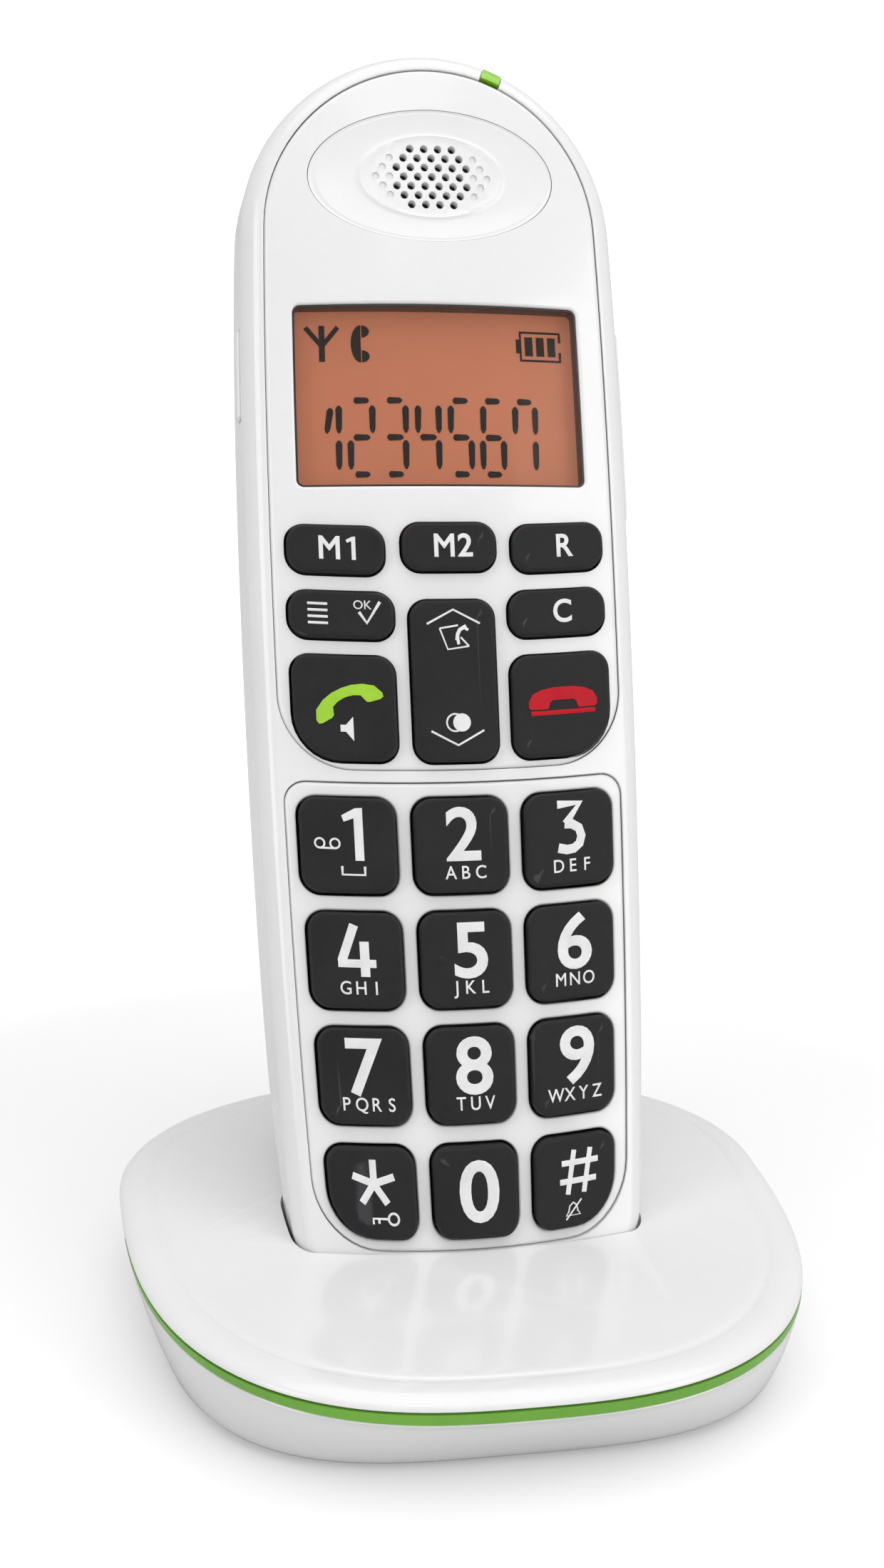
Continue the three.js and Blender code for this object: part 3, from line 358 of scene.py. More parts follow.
cell_green = make_finish(
    "cell_sleeve", srgb(52, 128, 70), srgb(42, 108, 58), (0.28, 0.4),
    (1600, 0.000006, 0.00002), (srgb(110, 180, 120), 0.3),
)
steel = make_finish(
    "plated_steel", srgb(196, 198, 200), srgb(170, 172, 174), (0.25, 0.38),
    (3000, 0.000004, 0.00001), (srgb(225, 225, 225), 0.4), {"Metallic": 1.0}, (200, 2600),
)
gold = make_finish(
    "gold_contact", srgb(212, 178, 104), srgb(190, 156, 84), (0.22, 0.36),
    (3000, 0.000004, 0.00001), (srgb(235, 210, 150), 0.4), {"Metallic": 1.0}, (200, 2600),
)
print("finishes:", len(bpy.data.materials))

# %% [markdown]
# The display is a sheet of amber light behind clear plastic. Its colour drifts
# a little from the lit middle to the corners, so a soft noise mixes two ambers,
# and a little of the same colour glows. The window over it is clear: almost all
# of it is see-through and only its gloss stays.

# %% Display finishes
amber = make_finish(
    "lit_amber", srgb(186, 114, 83), srgb(174, 104, 75), (0.4, 0.5),
    (2600, 0.000001, 0.0), (srgb(190, 116, 86), 0.1), {"Specular IOR Level": 0.2}, (26, 4200),
)
amber_shader = amber.node_tree.nodes["Principled BSDF"]
amber_color = amber_shader.inputs["Base Color"].links[0].from_socket
amber.node_tree.links.new(amber_color, amber_shader.inputs["Emission Color"])
AMBER_GLOW = 0.47
amber_shader.inputs["Emission Strength"].default_value = AMBER_GLOW

clear_window = make_finish(
    "window_acrylic", (0.09, 0.08, 0.07, 1), (0.12, 0.11, 0.1, 1), (0.03, 0.07),
    (2600, 0.0000005, 0.00001), ((0.3, 0.3, 0.3, 1), 0.1), {"Alpha": 0.1},
)
print("display finishes:", amber.name, clear_window.name)

# %% [markdown]
# ## Drawn flat, then bent
# The real face is not flat: it is crowned from side to side, the rows of keys
# smile, the sides draw in towards the foot, the back is deepest at the grip and
# the foot is cut level with the table. If every part were modelled curved,
# their seams would never meet. So each part is drawn square and flat, cut where
# it needs cutting, sliced into narrow strips, and only then bent, all by one
# function, so that neighbours stay parallel.

# %% The one bend
HALF_WIDTH = 26.5
SHOULDER, RISE = 144.0, 23.97
PARTING = 10.0
DEPTH = 25.0
CROWN = 0.0046
SMILE = 0.0022

SIDE_HEIGHTS, SIDE_HALVES = (9, 50.4, 114.24, 144), (23.4, 26.5, 26.95, 25.6)
TOP_HEIGHTS, FOOT_HEIGHTS = (168, 144.48, 100.8), (57.12, 26.88, 8.24)
TOP_THINNER, FOOT_THINNER = 10, 5
FOOT_SLOPE, TOP_NARROWER, TOP_FADE = 0.075, 0.36, 8
SMILE_ENDS, SMILE_FADE = 112, 12
FOOT_LEVEL = 30


def curve_through(controls):
    """Points along the curve that a few control values draw, as an editor's handles do."""
    steps = np.linspace(0, 1, 200)
    last = len(controls) - 1
    total = 0
    for i, value in enumerate(controls):
        total = total + math.comb(last, i) * value * steps ** i * (1 - steps) ** (last - i)
    return total


def along(v, controls):
    """Where height v lies on a curve that runs downwards: 0 at its start, 1 at its end."""
    return float(np.interp(-v, -curve_through(controls), np.linspace(0, 1, 200)))


side_v, side_u = curve_through(SIDE_HEIGHTS), curve_through(SIDE_HALVES)


def waist(v):
    """Half width of the body at height v, as a share of the widest."""
    if v < SIDE_HEIGHTS[0]:
        return (SIDE_HALVES[0] + FOOT_SLOPE * (v - SIDE_HEIGHTS[0])) / HALF_WIDTH
    if v > SHOULDER:
        narrower = TOP_NARROWER * (1 - math.exp((SHOULDER - v) / TOP_FADE))
        return (SIDE_HALVES[-1] - narrower) / HALF_WIDTH
    return float(np.interp(v, side_v, side_u)) / HALF_WIDTH


def back_depth(v):
    """How deep the back is at height v."""
    if v > TOP_HEIGHTS[-1]:
        return DEPTH - TOP_THINNER * (1 - along(v, TOP_HEIGHTS)) ** 2
    if v < FOOT_HEIGHTS[0]:
        return DEPTH - FOOT_THINNER * along(v, FOOT_HEIGHTS) ** 2
    return DEPTH


def bend(point):
    """Moves a point of the flat drawing to its place on the real, curved handset."""
    u, v, n = point
    near_face = min(max(1 + n / PARTING, 0), 1.12)
    fade = min(max((SMILE_ENDS - v) / SMILE_FADE, 0), 1)
    fade = fade * fade * (3 - 2 * fade)
    across = u * waist(v)
    up = v + SMILE * across * across * near_face * fade
    out = n - CROWN * across * across * near_face
    if n < -PARTING:
        out = -PARTING + (n + PARTING) * (back_depth(v) - PARTING) / (DEPTH - PARTING)
    up += -out * math.tan(LEAN) * max(0, 1 - v / FOOT_LEVEL)
    return Vector((across, up, out))


print("waist at the foot and the middle: %.3f %.3f" % (waist(9), waist(80)))
print("back depth at the foot, grip and top:", [round(back_depth(v), 1) for v in (9, 80, 166)])

# %% [markdown]
# ## Tools for flat parts
# A flat part starts as one face with four corners. Bevelling a corner vertex
# rounds it, insetting the face and lifting it rounds the rim step by step, and
# a Boolean cuts holes and pockets exactly.

# %% Flat part tools
def corner_face(bm, half_width, bottom, top, radii, level, segments=8, middle=0.0):
    """One face with round corners: radii run bottom left, bottom right, top right, top left."""
    places = [(-half_width, bottom), (half_width, bottom), (half_width, top), (-half_width, top)]
    corners = [bm.verts.new((middle + x, y, level)) for x, y in places]
    bm.faces.new(corners)
    for corner, radius in zip(corners, radii):
        if radius > 0:
            bmesh.ops.bevel(
                bm, geom=[corner], offset=radius, offset_type="OFFSET", segments=segments,
                profile=0.5, affect="VERTICES", clamp_overlap=False, material=-1,
            )
    bm.faces.ensure_lookup_table()
    face = bm.faces[-1]
    bmesh.ops.remove_doubles(bm, verts=face.verts[:], dist=1e-3)
    bm.faces.ensure_lookup_table()
    return bm.faces[-1]


def step_in(bm, face, inward, up):
    """Adds one ring of faces: the face shrinks by inward and lifts by up."""
    bmesh.ops.inset_region(bm, faces=[face], thickness=inward, use_boundary=True, use_even_offset=True)
    bmesh.ops.translate(bm, vec=(0, 0, up), verts=face.verts[:])


def round_over(bm, face, inward, up, segments):
    """Rounds the rim of a face over by a quarter of an ellipse."""
    turns = [math.pi / 2 * i / segments for i in range(segments + 1)]
    for a, b in zip(turns, turns[1:]):
        step_in(bm, face, inward * (math.cos(a) - math.cos(b)), up * (math.sin(b) - math.sin(a)))


def close_up(bm):
    """Fills the open end and turns every face outwards."""
    bmesh.ops.remove_doubles(bm, verts=bm.verts, dist=1e-5)
    open_edges = [edge for edge in bm.edges if len(edge.link_faces) == 1]
    bmesh.ops.holes_fill(bm, edges=open_edges, sides=0)
    bmesh.ops.recalc_face_normals(bm, faces=bm.faces)
    return bm


def plate(half_width, bottom, top, radii, low, high, edge=0.0, segments=8, middle=0.0):
    """A flat part from low to high, its upper rim rounded by edge."""
    bm = bmesh.new()
    face = corner_face(bm, half_width, bottom, top, radii, low, segments, middle)
    step_in(bm, face, 0, high - low - edge)
    if edge > 0:
        round_over(bm, face, edge, edge, 3)
    return close_up(bm)


def block(low, high, edge=0.0):
    """A box between two corners, with its edges softened."""
    bm = bmesh.new()
    size = [b - a for a, b in zip(low, high)]
    place = Matrix.Translation([(a + b) / 2 for a, b in zip(low, high)])
    bmesh.ops.create_cube(bm, size=1, matrix=place @ Matrix.Diagonal((*size, 1)))
    if edge > 0:
        bmesh.ops.bevel(
            bm, geom=bm.edges[:], offset=edge, segments=3, profile=0.5, affect="EDGES",
            clamp_overlap=True, material=-1,
        )
    return bm


def pin(x, y, low, high, diameter, sides=24):
    """A round pin standing on a flat part."""
    bm = bmesh.new()
    place = Matrix.Translation((x, y, (low + high) / 2))
    bmesh.ops.create_cone(
        bm, cap_ends=True, segments=sides, radius1=diameter / 2, radius2=diameter / 2,
        depth=high - low, matrix=place,
    )
    return bm


# %% [markdown]
# Solids are joined and cut with the exact Boolean solver, which keeps crisp
# borders where two curved parts meet. Cleaning up afterwards merges doubles and
# dissolves needless edges, so that a later bevel has room.

# %% Joining and cutting
def as_object(bm, name):
    mesh = bpy.data.meshes.new(name)
    bm.to_mesh(mesh)
    bm.free()
    thing = bpy.data.objects.new(name, mesh)
    scene.collection.objects.link(thing)
    return thing


def together(parts):
    """Puts the meshes of several parts into one, without joining their surfaces."""
    whole = bmesh.new()
    for part in parts:
        mesh = bpy.data.meshes.new("part")
        part.to_mesh(mesh)
        part.free()
        whole.from_mesh(mesh)
        bpy.data.meshes.remove(mesh)
    return whole


def boolean(bm, tool, operation):
    """Cuts, joins or keeps what two solids share, and returns the clean result."""
    work, cutter = as_object(bm, "work"), as_object(tool, "cutter")
    modifier = work.modifiers.new("cut", "BOOLEAN")
    modifier.operation = operation
    modifier.solver = "EXACT"
    modifier.object = cutter
    graph = bpy.context.evaluated_depsgraph_get()
    mesh = bpy.data.meshes.new_from_object(work.evaluated_get(graph))
    result = bmesh.new()
    result.from_mesh(mesh)
    for thing in (work, cutter):
        old = thing.data
        bpy.data.objects.remove(thing)
        bpy.data.meshes.remove(old)
    bpy.data.meshes.remove(mesh)
    bmesh.ops.remove_doubles(result, verts=result.verts, dist=1e-4)
    bmesh.ops.dissolve_limit(
        result, angle_limit=math.radians(0.2), verts=result.verts, edges=result.edges,
    )
    report_open(result, operation)
    return result


def report_open(bm, what):
    loose = sum(1 for edge in bm.edges if len(edge.link_faces) != 2)
    if loose:
        print("   open edges after", what, ":", loose, "of", len(bm.edges))


def cut(bm, *tools):
    return boolean(bm, together(tools), "DIFFERENCE")


def soften(bm, width, where, segments=3, steepest=35):
    """Rounds the outward edges that the test picks."""
    picked = []
    for edge in bm.edges:
        if len(edge.link_faces) != 2 or not edge.is_convex:
            continue
        middle = (edge.verts[0].co + edge.verts[1].co) / 2
        if math.degrees(edge.calc_face_angle(0)) > steepest and where(middle):
            picked.append(edge)
    bmesh.ops.bevel(
        bm, geom=picked, offset=width, segments=segments, profile=0.5, affect="EDGES",
        clamp_overlap=True, material=-1,
    )
    return bm


def slices(bm, axis, low, high, pitch):
    """Cuts the part into strips, so that it can bend."""
    normal = Vector((0, 0, 0))
    normal[axis] = 1
    count = int((high - low) / pitch) + 1
    for i in range(count):
        at = Vector((0, 0, 0))
        at[axis] = low + (high - low) * i / (count - 1)
        everything = bm.verts[:] + bm.edges[:] + bm.faces[:]
        bmesh.ops.bisect_plane(bm, geom=everything, dist=1e-5, plane_co=at, plane_no=normal)
    return bm


# %% [markdown]
# A finished part gets its place in metres, a material and its CAD body, and
# the CAD nodes it stands for are hidden. Faces are shaded smooth, edges sharper
# than 38 degrees stay sharp, and weighted normals keep the broad flats calm
# next to their small round edges.

# %% Finishing a piece
SHARP = math.radians(38)


def finish(bm, name, material, body, replaces=(), matrix=None, sharp=SHARP):
    report_open(bm, name)
    bmesh.ops.transform(bm, matrix=to_metres @ (matrix or Matrix()), verts=bm.verts)
    piece = as_object(bm, name)
    mesh = piece.data
    mesh.shade_smooth()
    mesh.set_sharp_from_angle(angle=sharp)
    calm = piece.modifiers.new("calm_flats", "WEIGHTED_NORMAL")
    calm.keep_sharp = True
    mesh.materials.append(material)
    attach(piece, body)
    if replaces:
        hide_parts(*replaces)
    return piece


def finish_bent(bm, name, material, body, replaces=(), pitch=1.5, lengthwise=6.0):
    """Slices a flat handset part, bends it and stands it in the base."""
    us = [vert.co.x for vert in bm.verts]
    vs = [vert.co.y for vert in bm.verts]
    if max(us) - min(us) > pitch:
        slices(bm, 0, min(us) + 0.01, max(us) - 0.01, pitch)
    if max(vs) - min(vs) > lengthwise:
        slices(bm, 1, min(vs) + 0.01, max(vs) - 0.01, lengthwise)
    for vert in bm.verts:
        vert.co = bend(vert.co)
    return finish(bm, name, material, body, replaces, stand_handset)


# %% [markdown]
# ## The handset body
# The body is a long rounded shape made in two halves that meet at a parting
# line ten millimetres behind the face. Each half starts as the outline at that
# line. The front half rises straight and rolls over towards the face, the rear
# half rolls over more softly into the back.

# %% Body halves
FRONT_ROLL, FRONT_ROLL_DEPTH = 2.6, 4.5
BACK_ROLL, BACK_ROLL_DEPTH = 8.0, 10.0
FOOT_CORNER = 9.0


def arch_over(face, half, rise):
    """Presses the round top of an outline down to half an ellipse of the given rise."""
    for vert in face.verts:
        if vert.co.y > SHOULDER:
            vert.co.y = SHOULDER + (vert.co.y - SHOULDER) * rise / half
    return face


def body_outline(bm, shrink, level, segments):
    half = HALF_WIDTH - shrink
    corner = max(FOOT_CORNER - shrink, 0.5)
    face = corner_face(
        bm, half, shrink, SHOULDER + half, (corner, corner, half, half), level, segments,
    )
    return arch_over(face, half, RISE - shrink)


def body_half(bm, shrink, start, towards_face, segments=24, rolls=6):
    face = body_outline(bm, shrink, start, segments)
    if towards_face:
        step_in(bm, face, 0, -FRONT_ROLL_DEPTH - start)
        round_over(bm, face, FRONT_ROLL, FRONT_ROLL_DEPTH - shrink, rolls)
    else:
        step_in(bm, face, 0, -DEPTH + BACK_ROLL_DEPTH - start)
        round_over(bm, face, BACK_ROLL, -BACK_ROLL_DEPTH + shrink, rolls + 4)


def body(shrink, segments=24):
    bm = bmesh.new()
    body_half(bm, shrink, -PARTING, True, segments)
    body_half(bm, shrink, -PARTING, False, segments)
    for face in bm.faces[:]:
        if len(face.verts) > 60 and abs(face.calc_center_median().z + PARTING) < 1:
            bm.faces.remove(face)
    return close_up(bm)


trial = body(0)
print("body: %d faces, %.0f cubic mm" % (len(trial.faces), trial.calc_volume()))
trial.free()

# %% [markdown]
# ## Front shell, fascia and keypad panel
# Two white panels sit in the front shell: the fascia with the earpiece, the
# display and the function keys, and the keypad panel below it. A fine seam runs
# round each between two soft edges, which reads as a pale double line.

# %% Panel outlines
GROOVE = 0.1
PANEL_HALF, FASCIA_BOTTOM, FASCIA_CORNER = 23.5, 69.9, 9.5
KEYPAD_HALF, KEYPAD_BOTTOM, KEYPAD_TOP = 23.3, 7.4, 68.2
PANEL_THICK = 2.0


def fascia_prism(grow, low, high, edge=0.0, segments=20):
    bm = bmesh.new()
    half = PANEL_HALF + grow
    rise = RISE - 3 + grow
    corner = FASCIA_CORNER + grow
    face = corner_face(
        bm, half, FASCIA_BOTTOM - grow, SHOULDER + half, (corner, corner, half, half), low, segments,
    )
    arch_over(face, half, rise)
    step_in(bm, face, 0, high - low - edge)
    if edge > 0:
        round_over(bm, face, edge, edge, 3)
    return close_up(bm)


def keypad_prism(grow, low, high, edge=0.0):
    radii = (9 + grow, 9 + grow, 3 + grow, 3 + grow)
    return plate(
        KEYPAD_HALF + grow, KEYPAD_BOTTOM - grow, KEYPAD_TOP + grow, radii, low, high, edge, 10,
    )


# %% [markdown]
# The keys decide the holes. Every key has a name, a middle, a size and four
# corner radii; the outer bottom keys have one big corner. The middles come from
# the CAD nodes' boxes, turned back into the flat drawing. A soft cap is a little
# smaller than the block it stands for: it is trimmed at its sides and its ends,
# and moved up or down a little, so white bars show between the rows.

# %% Key plan
KEY_CORNER, KEY_BIG_CORNER = 2.4, 6.0
KEY_GAP = 0.35
face_of = (to_metres @ stand_handset).inverted()
TRIM = {
    "key_memory_1": (0.2, 0, 0.1), "key_memory_2": (0.25, 0, 0.7), "key_recall": (0.1, 0, 0.3),
    "key_menu_ok": (0.3, 0.1, -0.4), "key_clear": (0.35, 0.1, -0.35), "key_navigation": (0.3, 0, 0),
    "key_call": (0.65, 0.22, -0.22), "key_end": (0.45, 0.3, -0.3),
    "key_star": (0.4, 0.75, 0), "key_0": (0.4, 0.75, 0), "key_hash": (0.4, 0.75, 0),
}
NUMBER_TRIM = (0.4, 0.42, 0)


def key_plan():
    plan = {}
    for name in sorted(frame["nodes"]):
        if not name.startswith("key_") or name == "key_mat":
            continue
        mesh = frame["nodes"][name].data
        flat = np.array([face_of @ vert.co for vert in mesh.vertices])
        low, high = flat.min(0), flat.max(0)
        u, v = (low[:2] + high[:2]) / 2
        v -= SMILE * u * u
        radii = [KEY_CORNER] * 4
        if name in ("key_call", "key_star"):
            radii[0] = KEY_BIG_CORNER
        if name in ("key_end", "key_hash"):
            radii[1] = KEY_BIG_CORNER
        share = waist(v)
        narrower, lower, up = TRIM.get(name, NUMBER_TRIM)
        plan[name] = {
            "u": u / share,
            "v": v + up,
            "half": (high[0] - low[0]) / 2 / share - narrower,
            "height": high[1] - low[1] - 2 * lower,
            "radii": radii,
        }
    return plan


keys = key_plan()


def key_hole(key, low, high):
    radii = [radius + KEY_GAP for radius in key["radii"]]
    half_height = key["height"] / 2 + KEY_GAP
    return plate(
        key["half"] + KEY_GAP, key["v"] - half_height, key["v"] + half_height, radii,
        low, high, 0, 8, key["u"],
    )


print("keys:", len(keys), "the widest is %.1f mm" % max(2 * key["half"] for key in keys.values()))
function_keys = [name for name, key in keys.items() if key["v"] > 70]
number_keys = [name for name, key in keys.items() if key["v"] < 70]

# %% [markdown]
# The front shell starts as the solid front half. It is hollowed from behind,
# then pockets for the two panels leave a narrow ledge that carries them, and
# small openings take the side keys, the light clip and the microphone's hole.

# %% Front shell
WALL, FACE_WALL, LEDGE = 1.8, 3.4, 0.8
SEAM = 0.12
SIDE_LEVEL, SIDE_GAP = -7, 0.25
CLIP_TURN, CLIP_HALF, CLIP_REACH = math.radians(68), 1.35, 3.2
MICROPHONE_V, MICROPHONE_HOLE = 5.8, 1.2


def side_box(side, centre, length, width, reach=40):
    """A box round a side key, through the side of the body."""
    inner, outer = (0, reach) if side > 0 else (-reach, 0)
    half, half_width = length / 2 + SIDE_GAP, width / 2 + SIDE_GAP
    return block(
        (inner, centre - half, SIDE_LEVEL - half_width), (outer, centre + half, SIDE_LEVEL + half_width),
    )


def clip_box(grow):
    """The slot of the light clip, turned to stand square to the shoulder."""
    rim_point = (math.cos(CLIP_TURN) * HALF_WIDTH, SHOULDER + math.sin(CLIP_TURN) * RISE, 0)
    place = Matrix.Translation(rim_point) @ Matrix.Rotation(CLIP_TURN - math.pi / 2, 4, "Z")
    half, reach = CLIP_HALF + grow, CLIP_REACH + grow
    bm = block((-half, -reach, -5 - grow), (half, reach, 6))
    bmesh.ops.transform(bm, matrix=place, verts=bm.verts)
    return bm


front = bmesh.new()
body_half(front, 0, -PARTING + SEAM, True, 32, 8)
close_up(front)
soften(front, 0.25, lambda at: at.z < -PARTING + SEAM + 0.01, 2)
hollow = bmesh.new()
body_outline(hollow, WALL, -PARTING - 1, 16)
step_in(hollow, hollow.faces[-1], 0, PARTING + 1 - FACE_WALL)
close_up(hollow)
front = cut(front, hollow)
for grow, low in ((GROOVE, -PANEL_THICK - GROOVE), (-LEDGE, -20)):
    front = cut(front, fascia_prism(grow, low, 5), keypad_prism(grow, low, 5))
front = cut(
    front,
    side_box(1, 117.5, 27, 4.4),
    side_box(-1, 124.5, 12, 3.6),
    clip_box(0.15),
    pin(0, MICROPHONE_V, -30, 5, MICROPHONE_HOLE),
    key_hole(keys["key_star"], -9, 5),
    key_hole(keys["key_hash"], -9, 5),
)
soften(front, 0.5, lambda at: at.z > -0.5)
front_shell = finish_bent(
    front, "front_shell", white_gloss, "handset", ["handset_front_shell"], 1.5, 5,
)
print("front shell faces:", len(front_shell.data.polygons))

# %% [markdown]
# The keypad panel is a separate plate with twelve holes. Cutting all of them in
# one step from the key plan keeps each gap to its key equal.

# %% Keypad panel
panel = keypad_prism(0, -PANEL_THICK, -0.15, 0.55)
panel = cut(panel, *[key_hole(keys[name], -5, 5) for name in number_keys])
soften(panel, 0.3, lambda at: at.z > -0.2)
keypad = finish_bent(
    panel, "keypad_panel_cover", white_gloss, "handset", ["keypad_panel"], 1.5, 6,
)
print("keypad panel faces:", len(keypad.data.polygons))

# %% [markdown]
# The fascia fills the upper face. The window and the oval of the earpiece are
# cut through it, and each opening gets its own soft edge, wider at the window
# than at the keys.

# %% Fascia
WINDOW_HALF, WINDOW_BOTTOM, WINDOW_TOP = 19.6, 107.9, 132.7
EAR_V = 150.3
EAR_OUTER = (17.6, 9.1)
EAR_INNER = (9.8, 5.5)
window_share = waist((WINDOW_BOTTOM + WINDOW_TOP) / 2)


def window_plate(grow, low, high, edge=0.0):
    half = WINDOW_HALF / window_share + grow
    return plate(half, WINDOW_BOTTOM - grow, WINDOW_TOP + grow, [1 + grow] * 4, low, high, edge, 6)


def ellipse_prism(half_u, half_v, low, high, sides=96):
    bm = pin(0, 0, low, high, 2, sides)
    bmesh.ops.scale(bm, vec=(half_u, half_v, 1), verts=bm.verts)
    bmesh.ops.translate(bm, vec=(0, EAR_V, 0), verts=bm.verts)
    return bm


fascia = fascia_prism(0, -PANEL_THICK, 0, 0.6, 32)
fascia = cut(
    fascia,
    window_plate(0, -5, 5),
    ellipse_prism(*EAR_OUTER, -5, 5),
    *[key_hole(keys[name], -5, 5) for name in function_keys],
)
soften(fascia, 0.45, lambda at: at.z > -0.1 and at.y > 106 and at.y < 135)
soften(fascia, 0.3, lambda at: at.z > -0.1)
fascia_cover = finish_bent(
    fascia, "fascia_cover", white_gloss, "handset", ["front_fascia"], 1.5, 5,
)
print("fascia faces:", len(fascia_cover.data.polygons))

# %% [markdown]
# ## Earpiece
# The earpiece is an oval dish let into the fascia. Rings of an oval grow from
# its middle to its rim, and each ring gets a depth: a shallow bowl, a fine
# raised ring round the grille, and a rolled edge. The grille's holes are cut
# through it, and blind dimples continue the pattern at both sides.

# %% Earpiece dish
HOLE_ROWS = [4, 5, 6, 5, 6, 5, 4]
HOLE_PITCH, ROW_PITCH, HOLE = 2.0, 1.28, 1.12


def dish_depth(share):
    """Depth of the dish at a share of the way from the grille's oval to the rim."""
    if share < 0:
        return -0.55 - 0.05 * share
    bowl = -0.5 + 0.42 * share ** 2
    ring = 0.16 * math.exp(-((share - 0.04) / 0.05) ** 2)
    lip = -0.1 * math.exp(-((share - 0.93) / 0.035) ** 2)
    return bowl + ring + lip


def dish():
    bm = bmesh.new()
    bmesh.ops.create_circle(bm, cap_ends=True, radius=1, segments=96)
    bm.faces.ensure_lookup_table()
    face = bm.faces[0]
    if face.normal.z < 0:
        face.normal_flip()
    shares = [1.0, 0.985, 0.97] + [0.955 - 0.04 * i for i in range(24)] + [-0.1, -0.25]
    halves = [[i + (o - i) * s for i, o in zip(EAR_INNER, EAR_OUTER)] for s in shares]
    rim = (EAR_OUTER[0] - 0.1, EAR_OUTER[1] - 0.1)
    for vert in face.verts:
        vert.co = Vector((vert.co.x * rim[0], vert.co.y * rim[1], -PANEL_THICK))
    step_in(bm, face, 0, 1)
    for share, (half_u, half_v) in zip(shares, halves):
        if share < 1:
            step_in(bm, face, 0.02, 0)
        for vert in face.verts:
            angle = math.atan2(vert.co.y / EAR_OUTER[1], vert.co.x / EAR_OUTER[0])
            grow = -0.1 if share > 0.99 else 0
            depth = -0.3 if share > 0.99 else dish_depth(share)
            vert.co = Vector(((half_u + grow) * math.cos(angle), (half_v + grow) * math.sin(angle), depth))
    bmesh.ops.translate(bm, vec=(0, EAR_V, 0), verts=bm.verts)
    return close_up(bm)


def grille(rows, low, high, diameter, sides):
    pins = []
    for row, count in enumerate(rows):
        v = EAR_V + ((len(rows) - 1) / 2 - row) * ROW_PITCH
        for i in range(count):
            pins.append(pin((i - (count - 1) / 2) * HOLE_PITCH, v, low, high, diameter, sides))
    return pins


ear_dish = dish()
ear_dish = cut(ear_dish, *grille(HOLE_ROWS, -5, 2, HOLE, 16))
DIMPLE, DIMPLE_FOOT = HOLE * 0.96, -0.82
dimples = []
for side in (-1, 1):
    for row, first, count in ((1, 6.0, 1), (2, 7.0, 1), (3, 6.0, 2), (4, 7.0, 1), (5, 6.0, 1)):
        v = EAR_V + (3 - row) * ROW_PITCH
        for i in range(count):
            dimples.append(pin(side * (first + HOLE_PITCH * i), v, DIMPLE_FOOT, 0, DIMPLE, 16))
ear_dish = cut(ear_dish, *dimples)
soften(ear_dish, 0.1, lambda at: at.z > -0.75 and abs(at.x) < 10, 2, 50)
ear = finish_bent(ear_dish, "earpiece_dish", white_gloss, "handset", (), 3.0, 6.0)
print("earpiece faces:", len(ear.data.polygons))

# %% [markdown]
# ## Display
# The display looks deep because it is built in layers: black walls line the
# opening as painted shade of the recess, the amber sheet lies at their foot,
# dark segments stand just above the sheet, and the clear window closes the top
# a little below the face.

# %% Window, painted recess shade and amber sheet
SHEET_TOP = -3.2
# The lining's black is painted shade on the walls of the window's recess.
recess_shade_lining = window_plate(-0.03, SHEET_TOP + 0.02, -0.48, 0.05)
recess_shade_lining = cut(recess_shade_lining, window_plate(-0.27, -6, 2))
recess_shade_piece = finish_bent(recess_shade_lining, "window_recess_shade", black_plastic, "handset")
window = window_plate(-0.3, -1.15, -0.65, 0.05)
window_piece = finish_bent(
    window, "window_pane", clear_window, "handset", ["display_window"], 1.5, 6,
)
sheet = window_plate(1.2, SHEET_TOP - 3.1, SHEET_TOP, 0.05)
sheet_piece = finish_bent(sheet, "amber_sheet", amber, "handset", ["lcd_module"], 1.5, 6)
print("display layers:", [piece.name for piece in (recess_shade_piece, window_piece, sheet_piece)])

# %% [markdown]
# Strokes draw the symbols. A stroke is a curve through a few points, thickened
# to a tube and flattened, so its ends and corners are round like printed ink.
# A stroke may taper: each point has its own share of the width.

# %% Strokes and letters
INK = 0.05


def from_curve(curve):
    """Makes a curve a mesh, in the flat drawing."""
    thing = bpy.data.objects.new("ink", curve)
    scene.collection.objects.link(thing)
    bpy.context.view_layer.update()
    graph = bpy.context.evaluated_depsgraph_get()
    mesh = bpy.data.meshes.new_from_object(thing.evaluated_get(graph))
    bm = bmesh.new()
    bm.from_mesh(mesh)
    bpy.data.objects.remove(thing)
    bpy.data.meshes.remove(mesh)
    bmesh.ops.remove_doubles(bm, verts=bm.verts, dist=1e-5)
    return bm


def stroke(points, width, closed=False, shares=None):
    curve = bpy.data.curves.new("stroke", "CURVE")
    curve.dimensions = "3D"
    curve.bevel_depth = width / 2
    curve.bevel_resolution = 2
    curve.use_fill_caps = True
    line = curve.splines.new("POLY")
    line.points.add(len(points) - 1)
    line.use_cyclic_u = closed
    for i, (x, y) in enumerate(points):
        line.points[i].co = (x, y, 0, 1)
        line.points[i].radius = shares[i] if shares else 1
    bm = from_curve(curve)
    bmesh.ops.scale(bm, vec=(1, 1, 2 * INK / width), verts=bm.verts)
    return bm


def ring(u, v, radius, width, sides=24):
    angles = [2 * math.pi * i / sides for i in range(sides)]
    return stroke([(u + radius * math.cos(a), v + radius * math.sin(a)) for a in angles], width, True)


def solid_shape(points):
    """A flat filled shape through a few points."""
    bm = bmesh.new()
    bm.faces.new([bm.verts.new((x, y, -INK)) for x, y in points])
    bm.faces.ensure_lookup_table()
    if bm.faces[0].normal.z < 0:
        bm.faces[0].normal_flip()
    step_in(bm, bm.faces[0], 0, 2 * INK)
    return close_up(bm)


CAPITAL = 0.68


